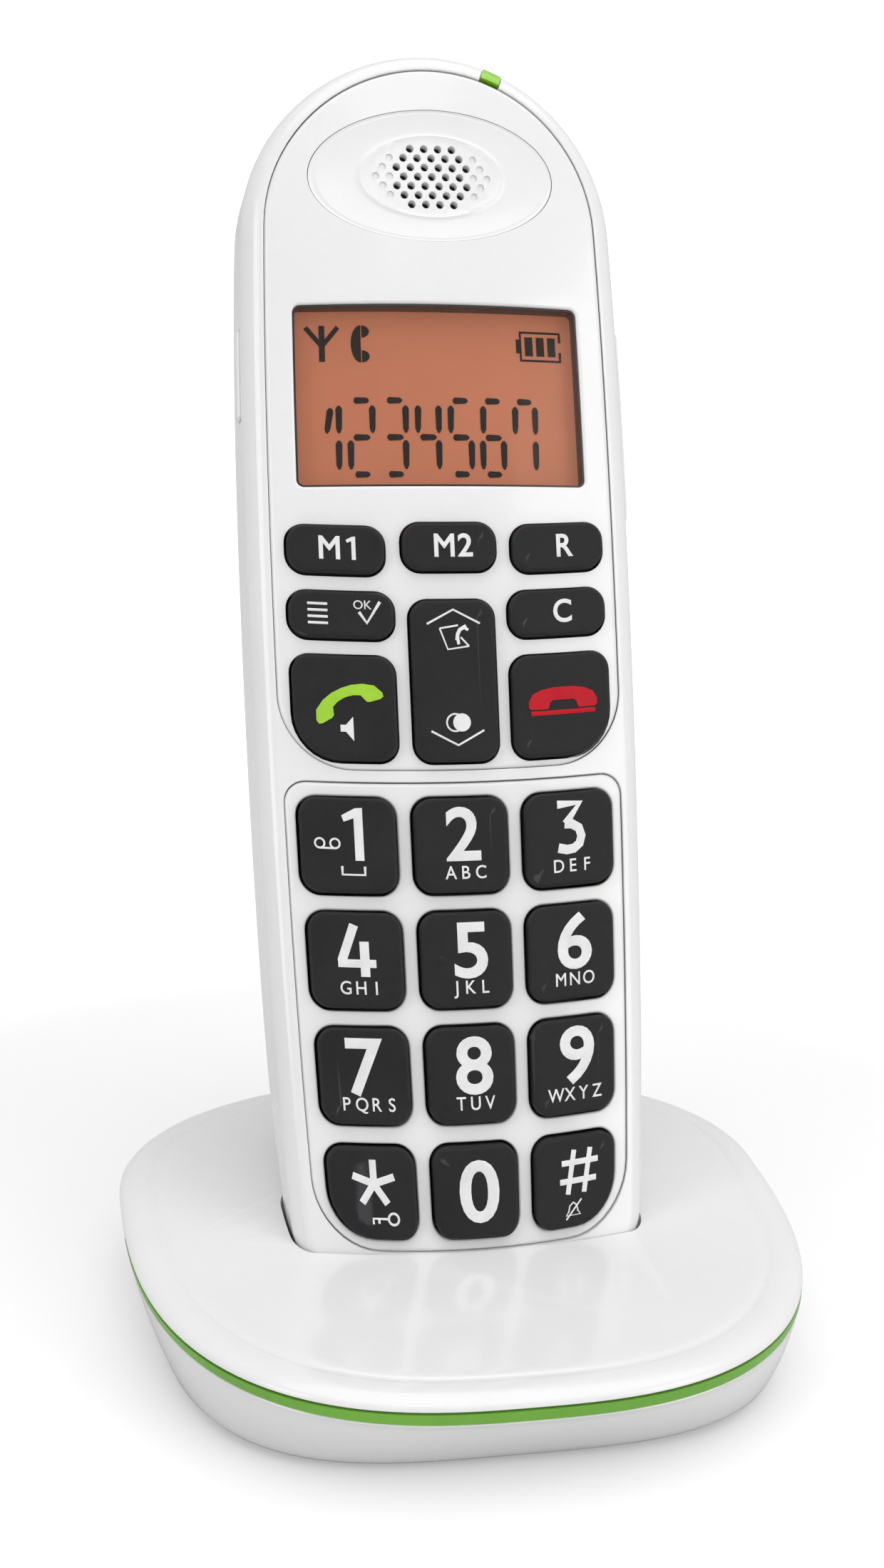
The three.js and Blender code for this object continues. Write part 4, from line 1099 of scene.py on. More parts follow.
def letters(text, height, u, v, weight=0.0, widen=1.0):
    """Capitals or figures, centred on u and v, made bolder by weight times their height."""
    curve = bpy.data.curves.new("letters", "FONT")
    curve.body = text
    curve.resolution_u = 5
    curve.extrude = 0.01
    curve.bevel_depth = weight * CAPITAL
    curve.bevel_resolution = 1
    bm = from_curve(curve)
    xs = [vert.co.x for vert in bm.verts]
    scale = height / (CAPITAL * (1 + 2 * weight))
    flat = INK / (0.01 + weight * CAPITAL)
    bmesh.ops.translate(bm, vec=(-(min(xs) + max(xs)) / 2, -CAPITAL / 2, 0), verts=bm.verts)
    bmesh.ops.scale(bm, vec=(scale * widen, scale, flat), verts=bm.verts)
    bmesh.ops.translate(bm, vec=(u, v, 0), verts=bm.verts)
    return bm


def lift(bm, level):
    bmesh.ops.translate(bm, vec=(0, 0, level), verts=bm.verts)
    return bm


print("ink is %.2f mm thick" % (2 * INK))

# %% [markdown]
# The digits are bars, as on a real segment display. Each bar has a letter, each
# digit is a word of letters, and a bar tapers to its ends.

# %% Display digits
SEGMENTS = {
    "a": ((0.15, 1), (0.85, 1)), "b": ((1, 0.93), (0.98, 0.56)), "c": ((0.96, 0.46), (0.94, 0.07)),
    "d": ((0.12, 0), (0.8, 0)), "e": ((-0.04, 0.46), (-0.06, 0.07)), "f": ((0.04, 0.93), (0.0, 0.56)),
    "g": ((0.1, 0.5), (0.86, 0.5)), "h": ((0.62, 0.9), (0.42, 0.56)),
}
DIGITS_U, DIGITS_V, DIGIT_PITCH, DIGIT_WIDE, DIGIT_TALL = -16.5, 110.15, 4.55, 2.95, 10.1
SEGMENT_WIDTH, SEGMENT_TAPER = 0.92, [0.4, 1, 0.85, 0.3]
DIGITS = ["hbc", "abged", "abgcd", "fbgc", "afgcd", "afgecd", "fabc"]


def segment(name, u):
    """One dark bar of a digit: its ends are shares of the digit's width and height."""
    a, b = [Vector((u + x * DIGIT_WIDE, DIGITS_V + y * DIGIT_TALL)) for x, y in SEGMENTS[name]]
    points = [a, a.lerp(b, 0.12), a.lerp(b, 0.85), b]
    return stroke([tuple(point) for point in points], SEGMENT_WIDTH, False, SEGMENT_TAPER)


ink = []
for i, digit in enumerate(DIGITS):
    for name in digit:
        ink.append(segment(name, DIGITS_U + DIGIT_PITCH * i))
print("display bars:", len(ink))

# %% [markdown]
# The aerial, the small receiver and the battery are drawn from strokes, filled
# arcs and boxes. They share the level of the digits, because one printed layer
# holds them all.

# %% Display symbols
def round_arc(u, v, half_u, half_v, start, turn, steps=16):
    angles = [math.radians(start + turn * i / steps) for i in range(steps + 1)]
    return [(u + half_u * math.cos(a), v + half_v * math.sin(a)) for a in angles]


def flat_box(u, v, half_u, half_v):
    corners = ((-1, -1), (1, -1), (1, 1), (-1, 1))
    return solid_shape([(u + x * half_u, v + y * half_v) for x, y in corners])


aerial_u, aerial_v = -15.6, 128.1
ink.append(stroke([(aerial_u, aerial_v - 2.5), (aerial_u, aerial_v + 2.4)], 0.8))
for side in (-2.2, 2.2):
    ink.append(stroke([(aerial_u, aerial_v - 0.4), (aerial_u + side, aerial_v + 2.2)], 0.65))
phone_u, phone_v = -10.3, 128.0
ink.append(solid_shape(round_arc(phone_u, phone_v, 1.35, 2.55, 90, 180)))
for end in (1.7, -1.7):
    ink.append(solid_shape(round_arc(phone_u + 0.14, phone_v + end, 1.05, 0.82, 90, -180)))
cell_u, cell_v = 15.0, 128.0
frame_corners = ((1, 0.35), (1, 1), (-1, 1), (-1, -1), (1, -1), (1, -0.35))
ink.append(stroke([(cell_u + x * 2.85, cell_v + y * 1.95) for x, y in frame_corners], 0.42))
ink.append(flat_box(cell_u - 3.2, cell_v, 0.28, 0.95))
for i in (-1, 0, 1):
    ink.append(flat_box(cell_u + 1.65 * i, cell_v, 0.56, 1.3))
sheet_ink = lift(together(ink), SHEET_TOP + INK + 0.02)
ink_piece = finish_bent(sheet_ink, "display_segments", lcd_ink, "handset", (), 2.0, 60)
print("display ink faces:", len(ink_piece.data.polygons))

# %% [markdown]
# ## Keys
# A key is soft rubber: its top edge is rounded, and inside a slightly raised
# rim the top sinks by a few hundredths of a millimetre, where the finger rests.

# %% Key caps
KEY_TOP, KEY_FOOT, KEY_EDGE, KEY_SINK = 1.2, -3.6, 0.45, 0.04


def key_cap(key):
    half_height = key["height"] / 2
    bm = bmesh.new()
    face = corner_face(
        bm, key["half"], key["v"] - half_height, key["v"] + half_height, key["radii"],
        KEY_FOOT, 8, key["u"],
    )
    step_in(bm, face, 0, KEY_TOP - KEY_EDGE - KEY_FOOT)
    round_over(bm, face, KEY_EDGE, KEY_EDGE, 4)
    for inward, down in ((0.3, 0), (0.7, KEY_SINK / 2), (0.9, KEY_SINK / 2)):
        step_in(bm, face, inward, -down)
    return close_up(bm)


for name, key in keys.items():
    cap = key_cap(key)
    finish_bent(cap, name + "_cap", key_black, name, [name], 1.5, 30)
dot_key = keys["key_5"]
dot = bmesh.new()
dot_place = Matrix.Translation((dot_key["u"] - 3.6, dot_key["v"], KEY_TOP - 0.12))
flatter = Matrix.Diagonal((1, 1, 0.6, 1))
bmesh.ops.create_uvsphere(dot, u_segments=20, v_segments=10, radius=0.55, matrix=dot_place @ flatter)
finish_bent(dot, "key_5_dot", key_black, "key_5", (), 4, 30)
print("key caps:", len(keys))

# %% [markdown]
# ## Legends
# The legends are printed on the keys: big figures, small letters and simple
# symbols. Each is a thin sheet of ink on the sunken top, and rides with its key.
#
# Most figures and letters are text made into a mesh. Bevelling the text makes
# it bolder evenly, where scaling would make it only wider.

# %% Figures and letters
LEGEND_LEVEL = KEY_TOP - KEY_SINK + INK
FIGURES = {
    "key_2": ("2", 7.0, 0.1, 1.4, 1.04), "key_5": ("5", 7.2, 0.5, 1.2, 1.1),
    "key_6": ("6", 7.2, 0.4, 1.3, 1.1), "key_7": ("7", 7.3, 0.0, 1.2, 1.02),
    "key_8": ("8", 7.3, 0.3, 1.2, 1.1), "key_9": ("9", 7.3, 0.5, 1.4, 1.1),
    "key_0": ("0", 7.7, 0.3, 0.2, 1.14),
}
LETTER_PITCH, LETTER_TALL, LETTER_DOWN = 2.07, 1.7, 3.6
LETTERS = {
    "key_2": "ABC", "key_3": "DEF", "key_4": "GHI", "key_5": "JKL", "key_6": "MNO",
    "key_7": "PQRS", "key_8": "TUV", "key_9": "WXYZ",
}


def print_legend(name, key_name, parts, material):
    legend = lift(together(parts), LEGEND_LEVEL)
    return finish_bent(legend, name, material, key_name, (), 1.5, 60)


legend_parts = {name: [] for name in keys}
for name, (figure, tall, right, up, widen) in FIGURES.items():
    key = keys[name]
    legend_parts[name].append(letters(figure, tall, key["u"] + right, key["v"] + up, 0.03, widen))
for name, text in LETTERS.items():
    key = keys[name]
    for i, letter in enumerate(text):
        u = key["u"] + 0.3 + (i - (len(text) - 1) / 2) * LETTER_PITCH
        letter_ink = letters(letter, LETTER_TALL, u, key["v"] - LETTER_DOWN, 0.012, 0.94)
        legend_parts[name].append(letter_ink)
CAPITALS = {
    "key_memory_1": [("M", -0.9, 0.95)], "key_memory_2": [("M", -0.8, 0.95), ("2", 2.05, 1)],
    "key_recall": [("R", 0.9, 0.95)], "key_clear": [("C", 0.6, 0.95)],
}
for name, signs in CAPITALS.items():
    key = keys[name]
    for sign, right, widen in signs:
        legend_parts[name].append(letters(sign, 3.1, key["u"] + right, key["v"] + 0.1, 0.03, widen))
print("keys with letters:", sorted(LETTERS))


# %% [markdown]
# The 1, the 3 and the 4 have shapes of their own, because the font's are too
# plain. An outline in shares of the height is filled for the 1.

# %% Symbols on the keys
def at(name, points):
    key = keys[name]
    return [(key["u"] + x, key["v"] + y) for x, y in points]


def one(name, right, up, size):
    """The figure 1, with a flag: its outline in shares of its height."""
    outline = [(0.2, -0.5), (0.2, 0.5), (0.06, 0.49), (-0.2, 0.35), (-0.16, 0.23), (0.03, 0.3), (0.03, -0.5)]
    return solid_shape(at(name, [(right + x * size, up + y * size) for x, y in outline]))


legend_parts["key_1"].append(one("key_1", 0.5, 1.4, 6.9))
legend_parts["key_memory_1"].append(one("key_memory_1", 1.9, 0.1, 3.1))
print("own figures: 1, 3, 4")

# %% [markdown]
# Most symbols are a few lines each, so a table holds them: for every key its
# lines, each with its points from the middle of the key and its width. Drawing
# them from a table keeps one rule for all, and a symbol is changed in one place.

# %% Lines of the symbols
FINE, THIN = 0.28, 0.24
LINES = {
    "key_1": [
        ([(-3.9, -0.52), (-1.9, -0.52)], 0.26),
        ([(-1.1, -2.8), (-1.1, -3.9), (1.9, -3.9), (1.9, -2.8)], 0.34),
    ],
    "key_3": [
        ([(-1.75, 4.55), (1.5, 4.55), (-0.6, 1.95)], 1.1),
        ([(-0.75, 1.95), (0.3, 1.85), (1.3, 1.25), (1.65, 0.2),
          (1.35, -0.8), (0.5, -1.4), (-0.5, -1.5), (-1.75, -1.2)], 1.25),
    ],
    "key_4": [
        ([(-0.25, 4.55), (-2.1, -0.2)], 1.2),
        ([(-2.6, -0.45), (2.5, -0.45)], 1.05),
        ([(1.0, 2.4), (1.0, -2.15)], 1.25),
    ],
    "key_menu_ok": [([(-4.5, 1.3 - 0.85 * i), (-1.9, 1.3 - 0.85 * i)], 0.34) for i in range(4)]
    + [([(2.2, 0.35), (3.2, -1.1), (5.0, 1.75)], 0.42)],
    "key_navigation": [
        ([(-3.6, 7.5), (0, 9.4), (3.6, 7.5)], FINE), ([(-3.6, -6.7), (0, -8.6), (3.6, -6.7)], FINE),
        ([(-1.9, 6.9), (-0.9, 4.1), (2.0, 4.5)], THIN),
        ([(-1.9, 6.9), (0.6, 7.3)], THIN), ([(2.0, 4.5), (0.9, 5.7)], THIN),
        ([(1.7, 7.2), (0.8, 6.7), (0.5, 6.1), (0.4, 5.3)], 0.5),
        ([(1.75, 7.0), (1.55, 6.7)], 0.75), ([(0.35, 5.1), (0.75, 5.15)], 0.75),
    ],
    "key_star": [
        ([(1.9, -3.1), (-0.3, -3.1), (-0.3, -3.8)], 0.32), ([(0.5, -3.1), (0.5, -3.7)], 0.32),
    ],
    "key_hash": [
        ([(-1.3, -1.5), (-0.3, 4.1)], 0.75), ([(1.2, -1.5), (2.2, 4.1)], 0.75),
        ([(-2.2, 2.5), (3.4, 2.5)], 0.75), ([(-2.5, 0.15), (3.1, 0.15)], 0.75),
        ([(-1.6, -4.7), (0.8, -2.3)], THIN),
    ],
}
STAR_U, STAR_V, STAR_REACH = 0.1, 1.3, 3.05
for i in range(5):
    turn = math.radians(90 + 72 * i)
    tip = (STAR_U + STAR_REACH * math.cos(turn), STAR_V + STAR_REACH * math.sin(turn))
    LINES["key_star"].append(([(STAR_U, STAR_V), tip], 0.95))
for name, lines in LINES.items():
    for points, width in lines:
        legend_parts[name].append(stroke(at(name, points), width))
print("lines drawn:", sum(len(lines) for lines in LINES.values()))

# %% [markdown]
# What isn't a line is a ring, a disc or a filled outline: the key's bow, the
# moon, the bell and the loudspeaker.

# %% Rings and filled symbols
RINGS = [
    ("key_navigation", -0.3, -5.6, 1.15, 0.24), ("key_star", 2.6, -3.1, 0.72, 0.32),
    ("key_1", -3.9, 0.1, 0.62, 0.26), ("key_1", -1.9, 0.1, 0.62, 0.26),
]
for name, right, up, radius, width in RINGS:
    key = keys[name]
    legend_parts[name].append(ring(key["u"] + right, key["v"] + up, radius, width))
moon = keys["key_navigation"]
legend_parts["key_navigation"].append(pin(moon["u"] + 0.6, moon["v"] - 5.6, -INK, INK, 2.4, 32))
menu = keys["key_menu_ok"]
legend_parts["key_menu_ok"].append(letters("OK", 1.15, menu["u"] + 2.7, menu["v"] + 1.3, 0.01))
bell = [(-1.6, -4.2), (-1.2, -3.7), (-1.05, -3.0), (-0.5, -2.6), (0.05, -3.0), (0.2, -3.7), (0.6, -4.2)]
legend_parts["key_hash"].append(stroke(at("key_hash", bell), 0.22, True))
speaker = [(-0.8, -3.2), (-0.1, -3.2), (0.9, -4.4), (0.9, -1.2), (-0.1, -2.3), (-0.8, -2.3)]
legend_parts["key_call"].append(solid_shape(at("key_call", speaker)))

for name, parts in legend_parts.items():
    if parts:
        print_legend(name + "_legend", name, parts, legend_white)
print("white legends:", sum(1 for parts in legend_parts.values() if parts))


# %% [markdown]
# The receivers on the two call keys are drawn as a right half and mirrored, so
# both cups match. The green one is tilted as if lifted.

# %% Receivers on the call keys
CALL_SHAPE = [
    (0.5, -0.1), (0.44, 0.03), (0.3, 0.115), (0.15, 0.16), (0, 0.172), (0.03, 0.035), (0.12, 0.02),
    (0.21, -0.02), (0.25, -0.13), (0.29, -0.15), (0.44, -0.17), (0.49, -0.155),
]
END_SHAPE = [
    (0.5, -0.04), (0.44, 0.06), (0.32, 0.115), (0.16, 0.142), (0, 0.147), (0.0, -0.03), (0.15, -0.03),
    (0.19, -0.06), (0.21, -0.13), (0.23, -0.147), (0.46, -0.147), (0.5, -0.12),
]


def receiver(name, half, right, up, size, tilt):
    """A telephone receiver, its right half's outside and inside mirrored to the left."""
    outer, inner = half[:5], half[5:]
    left = [(-x, y) for x, y in reversed(outer[:-1])]
    left_inner = [(-x, y) for x, y in reversed(inner)]
    outline = outer + left + left_inner + (inner if inner[0][0] > 0 else inner[1:])
    whole = solid_shape([(x * size, y * size) for x, y in outline])
    key = keys[name]
    place = Matrix.Translation((key["u"] + right, key["v"] + up, 0))
    turn = Matrix.Rotation(math.radians(tilt), 4, "Z")
    bmesh.ops.transform(whole, matrix=place @ turn, verts=whole.verts)
    return whole


call = receiver("key_call", CALL_SHAPE, 0.1, 1.0, 9.6, 24)
print_legend("key_call_receiver", "key_call", [call], legend_green)
hang_up = receiver("key_end", END_SHAPE, 0.1, 0.9, 9.9, 0)
under = stroke(at("key_end", [(-4.55, -1.05), (4.75, -1.05)]), 0.6)
print_legend("key_end_receiver", "key_end", [hang_up, under], legend_red)

# %% [markdown]
# ## Side keys and light clip
# A long volume rocker stands out of the right side and a short key out of the
# left. A lime green clip lights up at the shoulder: it is cut from the rim of
# the body itself, a little proud, so it follows the roll of the edge.

# %% Side keys and clip
rocker = block((24.9, 104.0, -9.2), (27.1, 131.0, -4.8), 0.55)
finish_bent(rocker, "volume_rocker_cap", white_gloss, "volume_rocker", ["volume_rocker"], 5, 3)
button = block((-27.0, 118.5, -8.8), (-24.9, 130.5, -5.2), 0.5)
finish_bent(button, "side_key_cap", white_gloss, "side_key", ["side_key"], 5, 3)

rim = bmesh.new()
body_half(rim, -0.12, -PARTING, True, 32, 6)
close_up(rim)
rim = cut(rim, fascia_prism(0.45, -40, 5))
clip = boolean(rim, clip_box(0), "INTERSECT")
soften(clip, 0.22, lambda at: True)
finish_bent(clip, "light_clip", clip_green, "handset", ["light_pipe"], 1.5, 3)
print("side keys and clip are made")

# %% [markdown]
# ## Rear shell and battery cover
# The rear half is a shell too. A rounded window in it takes the battery cover,
# which lies on a ledge. Under the cover is the bay with its two cells. The
# ringer speaks through five slots above, and two screws sit in deep seats.

# %% Rear shell
COVER_HALF, COVER_HALF_LENGTH, COVER_CORNER, COVER_THICK = 15.0, 29.0, 4.0, 1.6
SPRING_ROOM, SIDE_ROOM, FRONT_ROOM, TRAY_WALL = 1.6, 0.7, 0.3, 1.4
cells = []
for name in ("battery_cell_left", "battery_cell_right"):
    cells += [face_of @ vert.co for vert in frame["nodes"][name].data.vertices]
bay_bottom = min(point.y for point in cells) - SPRING_ROOM
bay_top = max(point.y for point in cells) + SPRING_ROOM
bay_half = max(point.x for point in cells) + SIDE_ROOM
bay_front = max(point.z for point in cells) + FRONT_ROOM
cover_middle = (bay_bottom + bay_top) / 2


def cover_plate(grow, low, high):
    half_length = COVER_HALF_LENGTH + grow
    return plate(
        COVER_HALF + grow, cover_middle - half_length, cover_middle + half_length,
        [COVER_CORNER + grow] * 4, low, high, 0, 8,
    )


def rear_blank(shrink, segments=24):
    bm = bmesh.new()
    body_half(bm, shrink, -PARTING - SEAM if shrink == 0 else -PARTING + 1, False, segments)
    return close_up(bm)


rear = rear_blank(0, 32)
soften(rear, 0.25, lambda at: at.z > -PARTING - SEAM - 0.01, 2)
rear = cut(rear, rear_blank(WALL, 16))
ledge = boolean(rear_blank(WALL - 0.3, 16), cover_plate(1.4, -40, -PARTING - 4), "INTERSECT")
ledge = cut(ledge, rear_blank(COVER_THICK + GROOVE + 1.2, 16))
tray = block(
    (-bay_half - TRAY_WALL, bay_bottom - TRAY_WALL, -DEPTH + 1),
    (bay_half + TRAY_WALL, bay_top + TRAY_WALL, bay_front + TRAY_WALL),
)
tray = boolean(tray, rear_blank(COVER_THICK + GROOVE, 16), "INTERSECT")
rear = boolean(rear, ledge, "UNION")
rear = boolean(rear, tray, "UNION")
pocket = cut(cover_plate(GROOVE, -40, -PARTING - 2), rear_blank(COVER_THICK + GROOVE, 16))
bay = block((-bay_half, bay_bottom, -40), (bay_half, bay_top, bay_front))
rear = cut(rear, pocket)
rear = cut(rear, bay)
print("bay from %.1f to %.1f mm, faces: %d" % (bay_bottom, bay_top, len(rear.faces)))

# %% [markdown]
# Screw seats need a wall of their own inside the shell, so bosses are joined on
# before the seats are cut. The slots are thin plates cut straight in.

# %% Rear holes
SCREW_PLACES = ((-18, 141), (18, 141))
BOSS, SCREW_SEAT, SEAT_FLOOR = 6.6, 4.6, -15
RINGER_V, SLOT_PITCH, SLOT_HALF, SLOT_HALF_LENGTH = 110, 2.4, 0.6, 4.5
bosses = together([pin(x, y, -DEPTH, -PARTING - 0.3, BOSS) for x, y in SCREW_PLACES])
bosses = boolean(bosses, rear_blank(0.4, 16), "INTERSECT")
rear = boolean(rear, bosses, "UNION")
seats = [pin(x, y, -DEPTH - 1, SEAT_FLOOR, SCREW_SEAT) for x, y in SCREW_PLACES]
slots = []
for i in range(5):
    v = RINGER_V + (i - 2) * SLOT_PITCH
    slots.append(plate(
        SLOT_HALF_LENGTH, v - SLOT_HALF, v + SLOT_HALF, [SLOT_HALF - 0.01] * 4, -40, -DEPTH + 4, 0, 5,
    ))
rear = cut(rear, *seats, *slots)


def outer_edges(at):
    """The rims of slots and screw seats, and the long sides of the cover's window."""
    return at.z < -DEPTH + 0.3 or (at.z < -12 and 14.5 < abs(at.x) < 15.8)


soften(rear, 0.22, outer_edges, 2, 50)
rear_shell = finish_bent(
    rear, "rear_shell", white_gloss, "handset", ["handset_rear_shell"], 4.0, 3.0,
)
print("rear shell faces:", len(rear_shell.data.polygons))

# %% [markdown]
# The cover is the part of the rear shell's own skin that fills its window.
# Taking it from the same blank gives it the same curve, so it lies flush.

# %% Battery cover
cover = boolean(rear_blank(0, 24), cover_plate(0, -40, -PARTING - 0.6), "INTERSECT")
cover = cut(cover, rear_blank(COVER_THICK, 16))
soften(cover, 0.25, lambda at: at.z < -13, 2, 50)
GRIP_V, GRIP_PITCH, GRIP_HALF = cover_middle + 25.6, 2.2, 0.45
grips = []
for i in range(3):
    v = GRIP_V - GRIP_PITCH * i
    grips.append(plate(
        5.5 - i, v - GRIP_HALF, v + GRIP_HALF, [GRIP_HALF - 0.01] * 4, -40, -DEPTH + GRIP_HALF, 0, 5,
    ))
cover = cut(cover, *grips)
cover_piece = finish_bent(
    cover, "battery_door", white_gloss, "battery_cover", ["battery_cover"], 4.0, 3.0,
)
print("battery door faces:", len(cover_piece.data.polygons))

# %% [markdown]
# ## Base
# The base is a low bowl whose outline is a rounded shape between an ellipse and
# a rectangle: a superellipse, squarer in front than behind. A ring of points is
# extruded level by level like a stack of coins. Then every coin takes its own
# outline, height and inset.

# %% Stack of rings
HALF_ACROSS, REACH_FRONT, REACH_BACK, MIDDLE_Y = 44.74, 55.2, 32.2, -7.5
FLARE_SIDE, FLARE_FRONT, FLARE_BACK = 4.3, 7.1, 3.6
SEGMENTS_ROUND = 160
PARTING_Z, TOP_Z, UNDER_Z = 11.9, 13.8, 0.6


def base_point(angle, inset, flare, height):
    """A point of the outline at one level: inset shrinks it evenly, flare draws the lower levels in."""
    sine, cosine = math.sin(angle), math.cos(angle)
    front = sine < 0
    power = 2.7 + 0.8 * flare if front else 2.2
    reach = (REACH_FRONT - FLARE_FRONT * flare if front else REACH_BACK - FLARE_BACK * flare) - inset
    across = HALF_ACROSS - FLARE_SIDE * flare - inset
    x = across * math.copysign(abs(cosine) ** (2 / power), cosine)
    y = MIDDLE_Y + reach * math.copysign(abs(sine) ** (2 / power), sine)
    return Vector((x, y, height))


def ring_stack(levels, caps=True):
    """Levels of inset, flare and height, from the first ring to the last."""
    bm = bmesh.new()
    bmesh.ops.create_circle(bm, cap_ends=False, radius=1, segments=SEGMENTS_ROUND)
    first = bm.edges[:]
    loop = first
    for _ in levels[1:]:
        out = bmesh.ops.extrude_edge_only(bm, edges=loop)["geom"]
        bmesh.ops.translate(bm, vec=(0, 0, 1), verts=[g for g in out if isinstance(g, bmesh.types.BMVert)])
        loop = [g for g in out if isinstance(g, bmesh.types.BMEdge)]
    if caps:
        bmesh.ops.holes_fill(bm, edges=first + loop, sides=0)
    else:
        bmesh.ops.bridge_loops(bm, edges=first + loop)
    for vert in bm.verts:
        level = levels[round(vert.co.z)]
        inset, flare, height = level[:3]
        angle = math.atan2(vert.co.y, vert.co.x)
        vert.co = base_point(angle, inset, flare, height)
        if len(level) > 3:
            vert.co.z = level[3](vert.co)
    bmesh.ops.recalc_face_normals(bm, faces=bm.faces)
    return bm


def stripe_drop(point):
    """How far the green stripe reaches below the parting line here."""
    return 1.3 * min(max((-14 - point.y) / 48.8, 0), 1) ** 0.8


def flare_at(height):
    share = (PARTING_Z - height) / (PARTING_Z - UNDER_Z)
    return min(max(share, 0), 1) ** 1.35


# %% [markdown]
# The bowl draws in towards its foot and is closed inside by a floor. The green
# stripe is its own thin ring: it is widest at the front and ends behind the
# middle, where a plane cuts it off.

# %% Bottom shell and stripe
UPPER = PARTING_Z - 0.12
BOWL_FLOOR, SOCKET_GAP, FOOT_ROOM, FOOT_POCKET = 2.8, 0.25, 9.6, 1.8
bowl_levels = [(5, 1, UNDER_Z), (1.6, 1, UNDER_Z), (0.8, 1, UNDER_Z + 0.12), (0.25, flare_at(1.1), 1.1)]
for i in range(9):
    height = 1.8 + (UPPER - 2.0 - 1.8) * i / 8
    bowl_levels.append((0, flare_at(height), height))
bowl_levels.append((0, flare_at(UPPER - 0.35), UPPER, lambda p: UPPER - stripe_drop(p) - 0.3))
bowl_levels.append((0.15, flare_at(UPPER), UPPER, lambda p: UPPER - stripe_drop(p) - 0.12))
bowl_levels.append((2, flare_at(UPPER), UPPER, lambda p: UPPER - stripe_drop(p) - 0.12))
bowl_levels.append((2, flare_at(BOWL_FLOOR), BOWL_FLOOR))
bowl = ring_stack(bowl_levels)


def box_in_mm(node):
    """A node's lowest and highest corners, in the base's own drawing."""
    return [to_metres.inverted() @ Vector(corner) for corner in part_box(node)]


def box_round(node, grow, reach_back=0.0):
    """A block a little larger than a node, to cut room for it."""
    low, high = box_in_mm(node)
    more = Vector((grow, grow, grow))
    return block(low - more, high + more + Vector((0, reach_back, 0)))


openings = [box_round(node, SOCKET_GAP, 20) for node in ("line_socket", "power_inlet", "paging_button")]
bowl = cut(bowl, *openings)
feet = []
for i in range(1, 5):
    low, high = box_in_mm(f"base_foot_{i}")
    feet.append(pin(*((low + high) / 2).xy, -1, FOOT_POCKET, FOOT_ROOM, 32))
bowl = cut(bowl, *feet)
soften(bowl, 0.2, lambda at: at.y > 12 and at.z > 2, 2, 50)
bowl_piece = finish(bowl, "base_bowl", white_gloss, "base", ["base_bottom_shell"])

stripe_levels = [
    (0.0, 0, UPPER), (-0.02, 0.0, UPPER, lambda p: UPPER - 0.08),
    (-0.02, 0.0, UPPER, lambda p: UPPER - stripe_drop(p) + 0.08),
    (0.0, 0.0, UPPER, lambda p: UPPER - stripe_drop(p)),
    (1.6, 0.0, UPPER, lambda p: UPPER - stripe_drop(p)), (1.6, 0.0, UPPER),
]
stripe = ring_stack(stripe_levels, caps=False)
everything = stripe.verts[:] + stripe.edges[:] + stripe.faces[:]
bmesh.ops.bisect_plane(
    stripe, geom=everything, dist=1e-5, plane_co=(0, -17, 0), plane_no=(0, 1, 0), clear_outer=True,
)
close_up(stripe)
stripe_piece = finish(stripe, "green_stripe", stripe_green, "base", ["base_accent_strip"])
print("bowl and stripe faces:", len(bowl_piece.data.polygons), len(stripe_piece.data.polygons))

# %% [markdown]
# The top shell is a lid. Its rim rolls over softly, then a shallow groove runs
# all round, and inside it the deck falls gently towards the cradle. The cradle
# is cut with the shape of the handset itself, grown by a small gap, so the lip
# follows the crowned face. A rest behind it carries the handset's back.
#
# The levels of the lid's rim follow a quarter of an ellipse, so the edge
# catches one long highlight.

# %% Top shell
LOWER = PARTING_Z + 0.12
lid_levels = [(2.4, 0, LOWER), (0.2, 0, LOWER), (0.0, 0, LOWER + 0.2)]
for i in range(1, 9):
    turn = math.pi / 2 * i / 8
    lid_levels.append((3.2 * (1 - math.cos(turn)), 0, LOWER + 0.2 + (TOP_Z - LOWER - 0.35) * math.sin(turn)))
lid_levels += [
    (3.6, 0, TOP_Z - 0.15), (3.95, 0, TOP_Z - 0.28), (4.35, 0, TOP_Z - 0.3), (4.7, 0, TOP_Z - 0.18),
    (5.2, 0, TOP_Z - 0.04), (6.2, 0, TOP_Z), (9, 0, TOP_Z), (12, 0, TOP_Z),
]
lid = ring_stack(lid_levels)
GAP = 0.45


def standing(bm):
    """Bends and stands a handset solid, to cut or join it with the base."""
    slices(bm, 0, -24, 24, 2.0)
    slices(bm, 1, 1, 60, 5.0)
    for vert in bm.verts:
        vert.co = bend(vert.co)
    bmesh.ops.transform(bm, matrix=stand_handset, verts=bm.verts)
    return bm


pocket = standing(body(-GAP - 1.5, 12))
pocket = boolean(pocket, block((-60, -80, 0), (60, 60, TOP_Z - 1)), "INTERSECT")
rest = block((-17, 4, TOP_Z - 1.4), (17, 19, 27), 2.6)
lid = boolean(lid, pocket, "UNION")
lid = boolean(lid, rest, "UNION")
lid = cut(lid, standing(body(-GAP, 24)))
contacts = [box_round(name, 0.3) for name in ("charge_contact_left", "charge_contact_right")]
lid = cut(lid, *contacts)
soften(lid, 0.45, lambda at: at.z > TOP_Z - 0.4 and abs(at.x) < 30 and at.y < 25, 3, 30)
lid_piece = finish(lid, "base_lid", white_gloss, "base", ["base_top_shell"])
print("lid faces:", len(lid_piece.data.polygons))

# %% [markdown]
# ## Small parts of the base
# The paging button at the back is a green key with soft edges. The sockets, the
# rubber feet, the screws and everything inside keep their CAD shapes, and take
# the finishes made above.

# %% Paging button
paging = block(*box_in_mm("paging_button"), 0.5)
finish(paging, "paging_cap", stripe_green, "paging_button", ["paging_button"])
print("paging button is made")

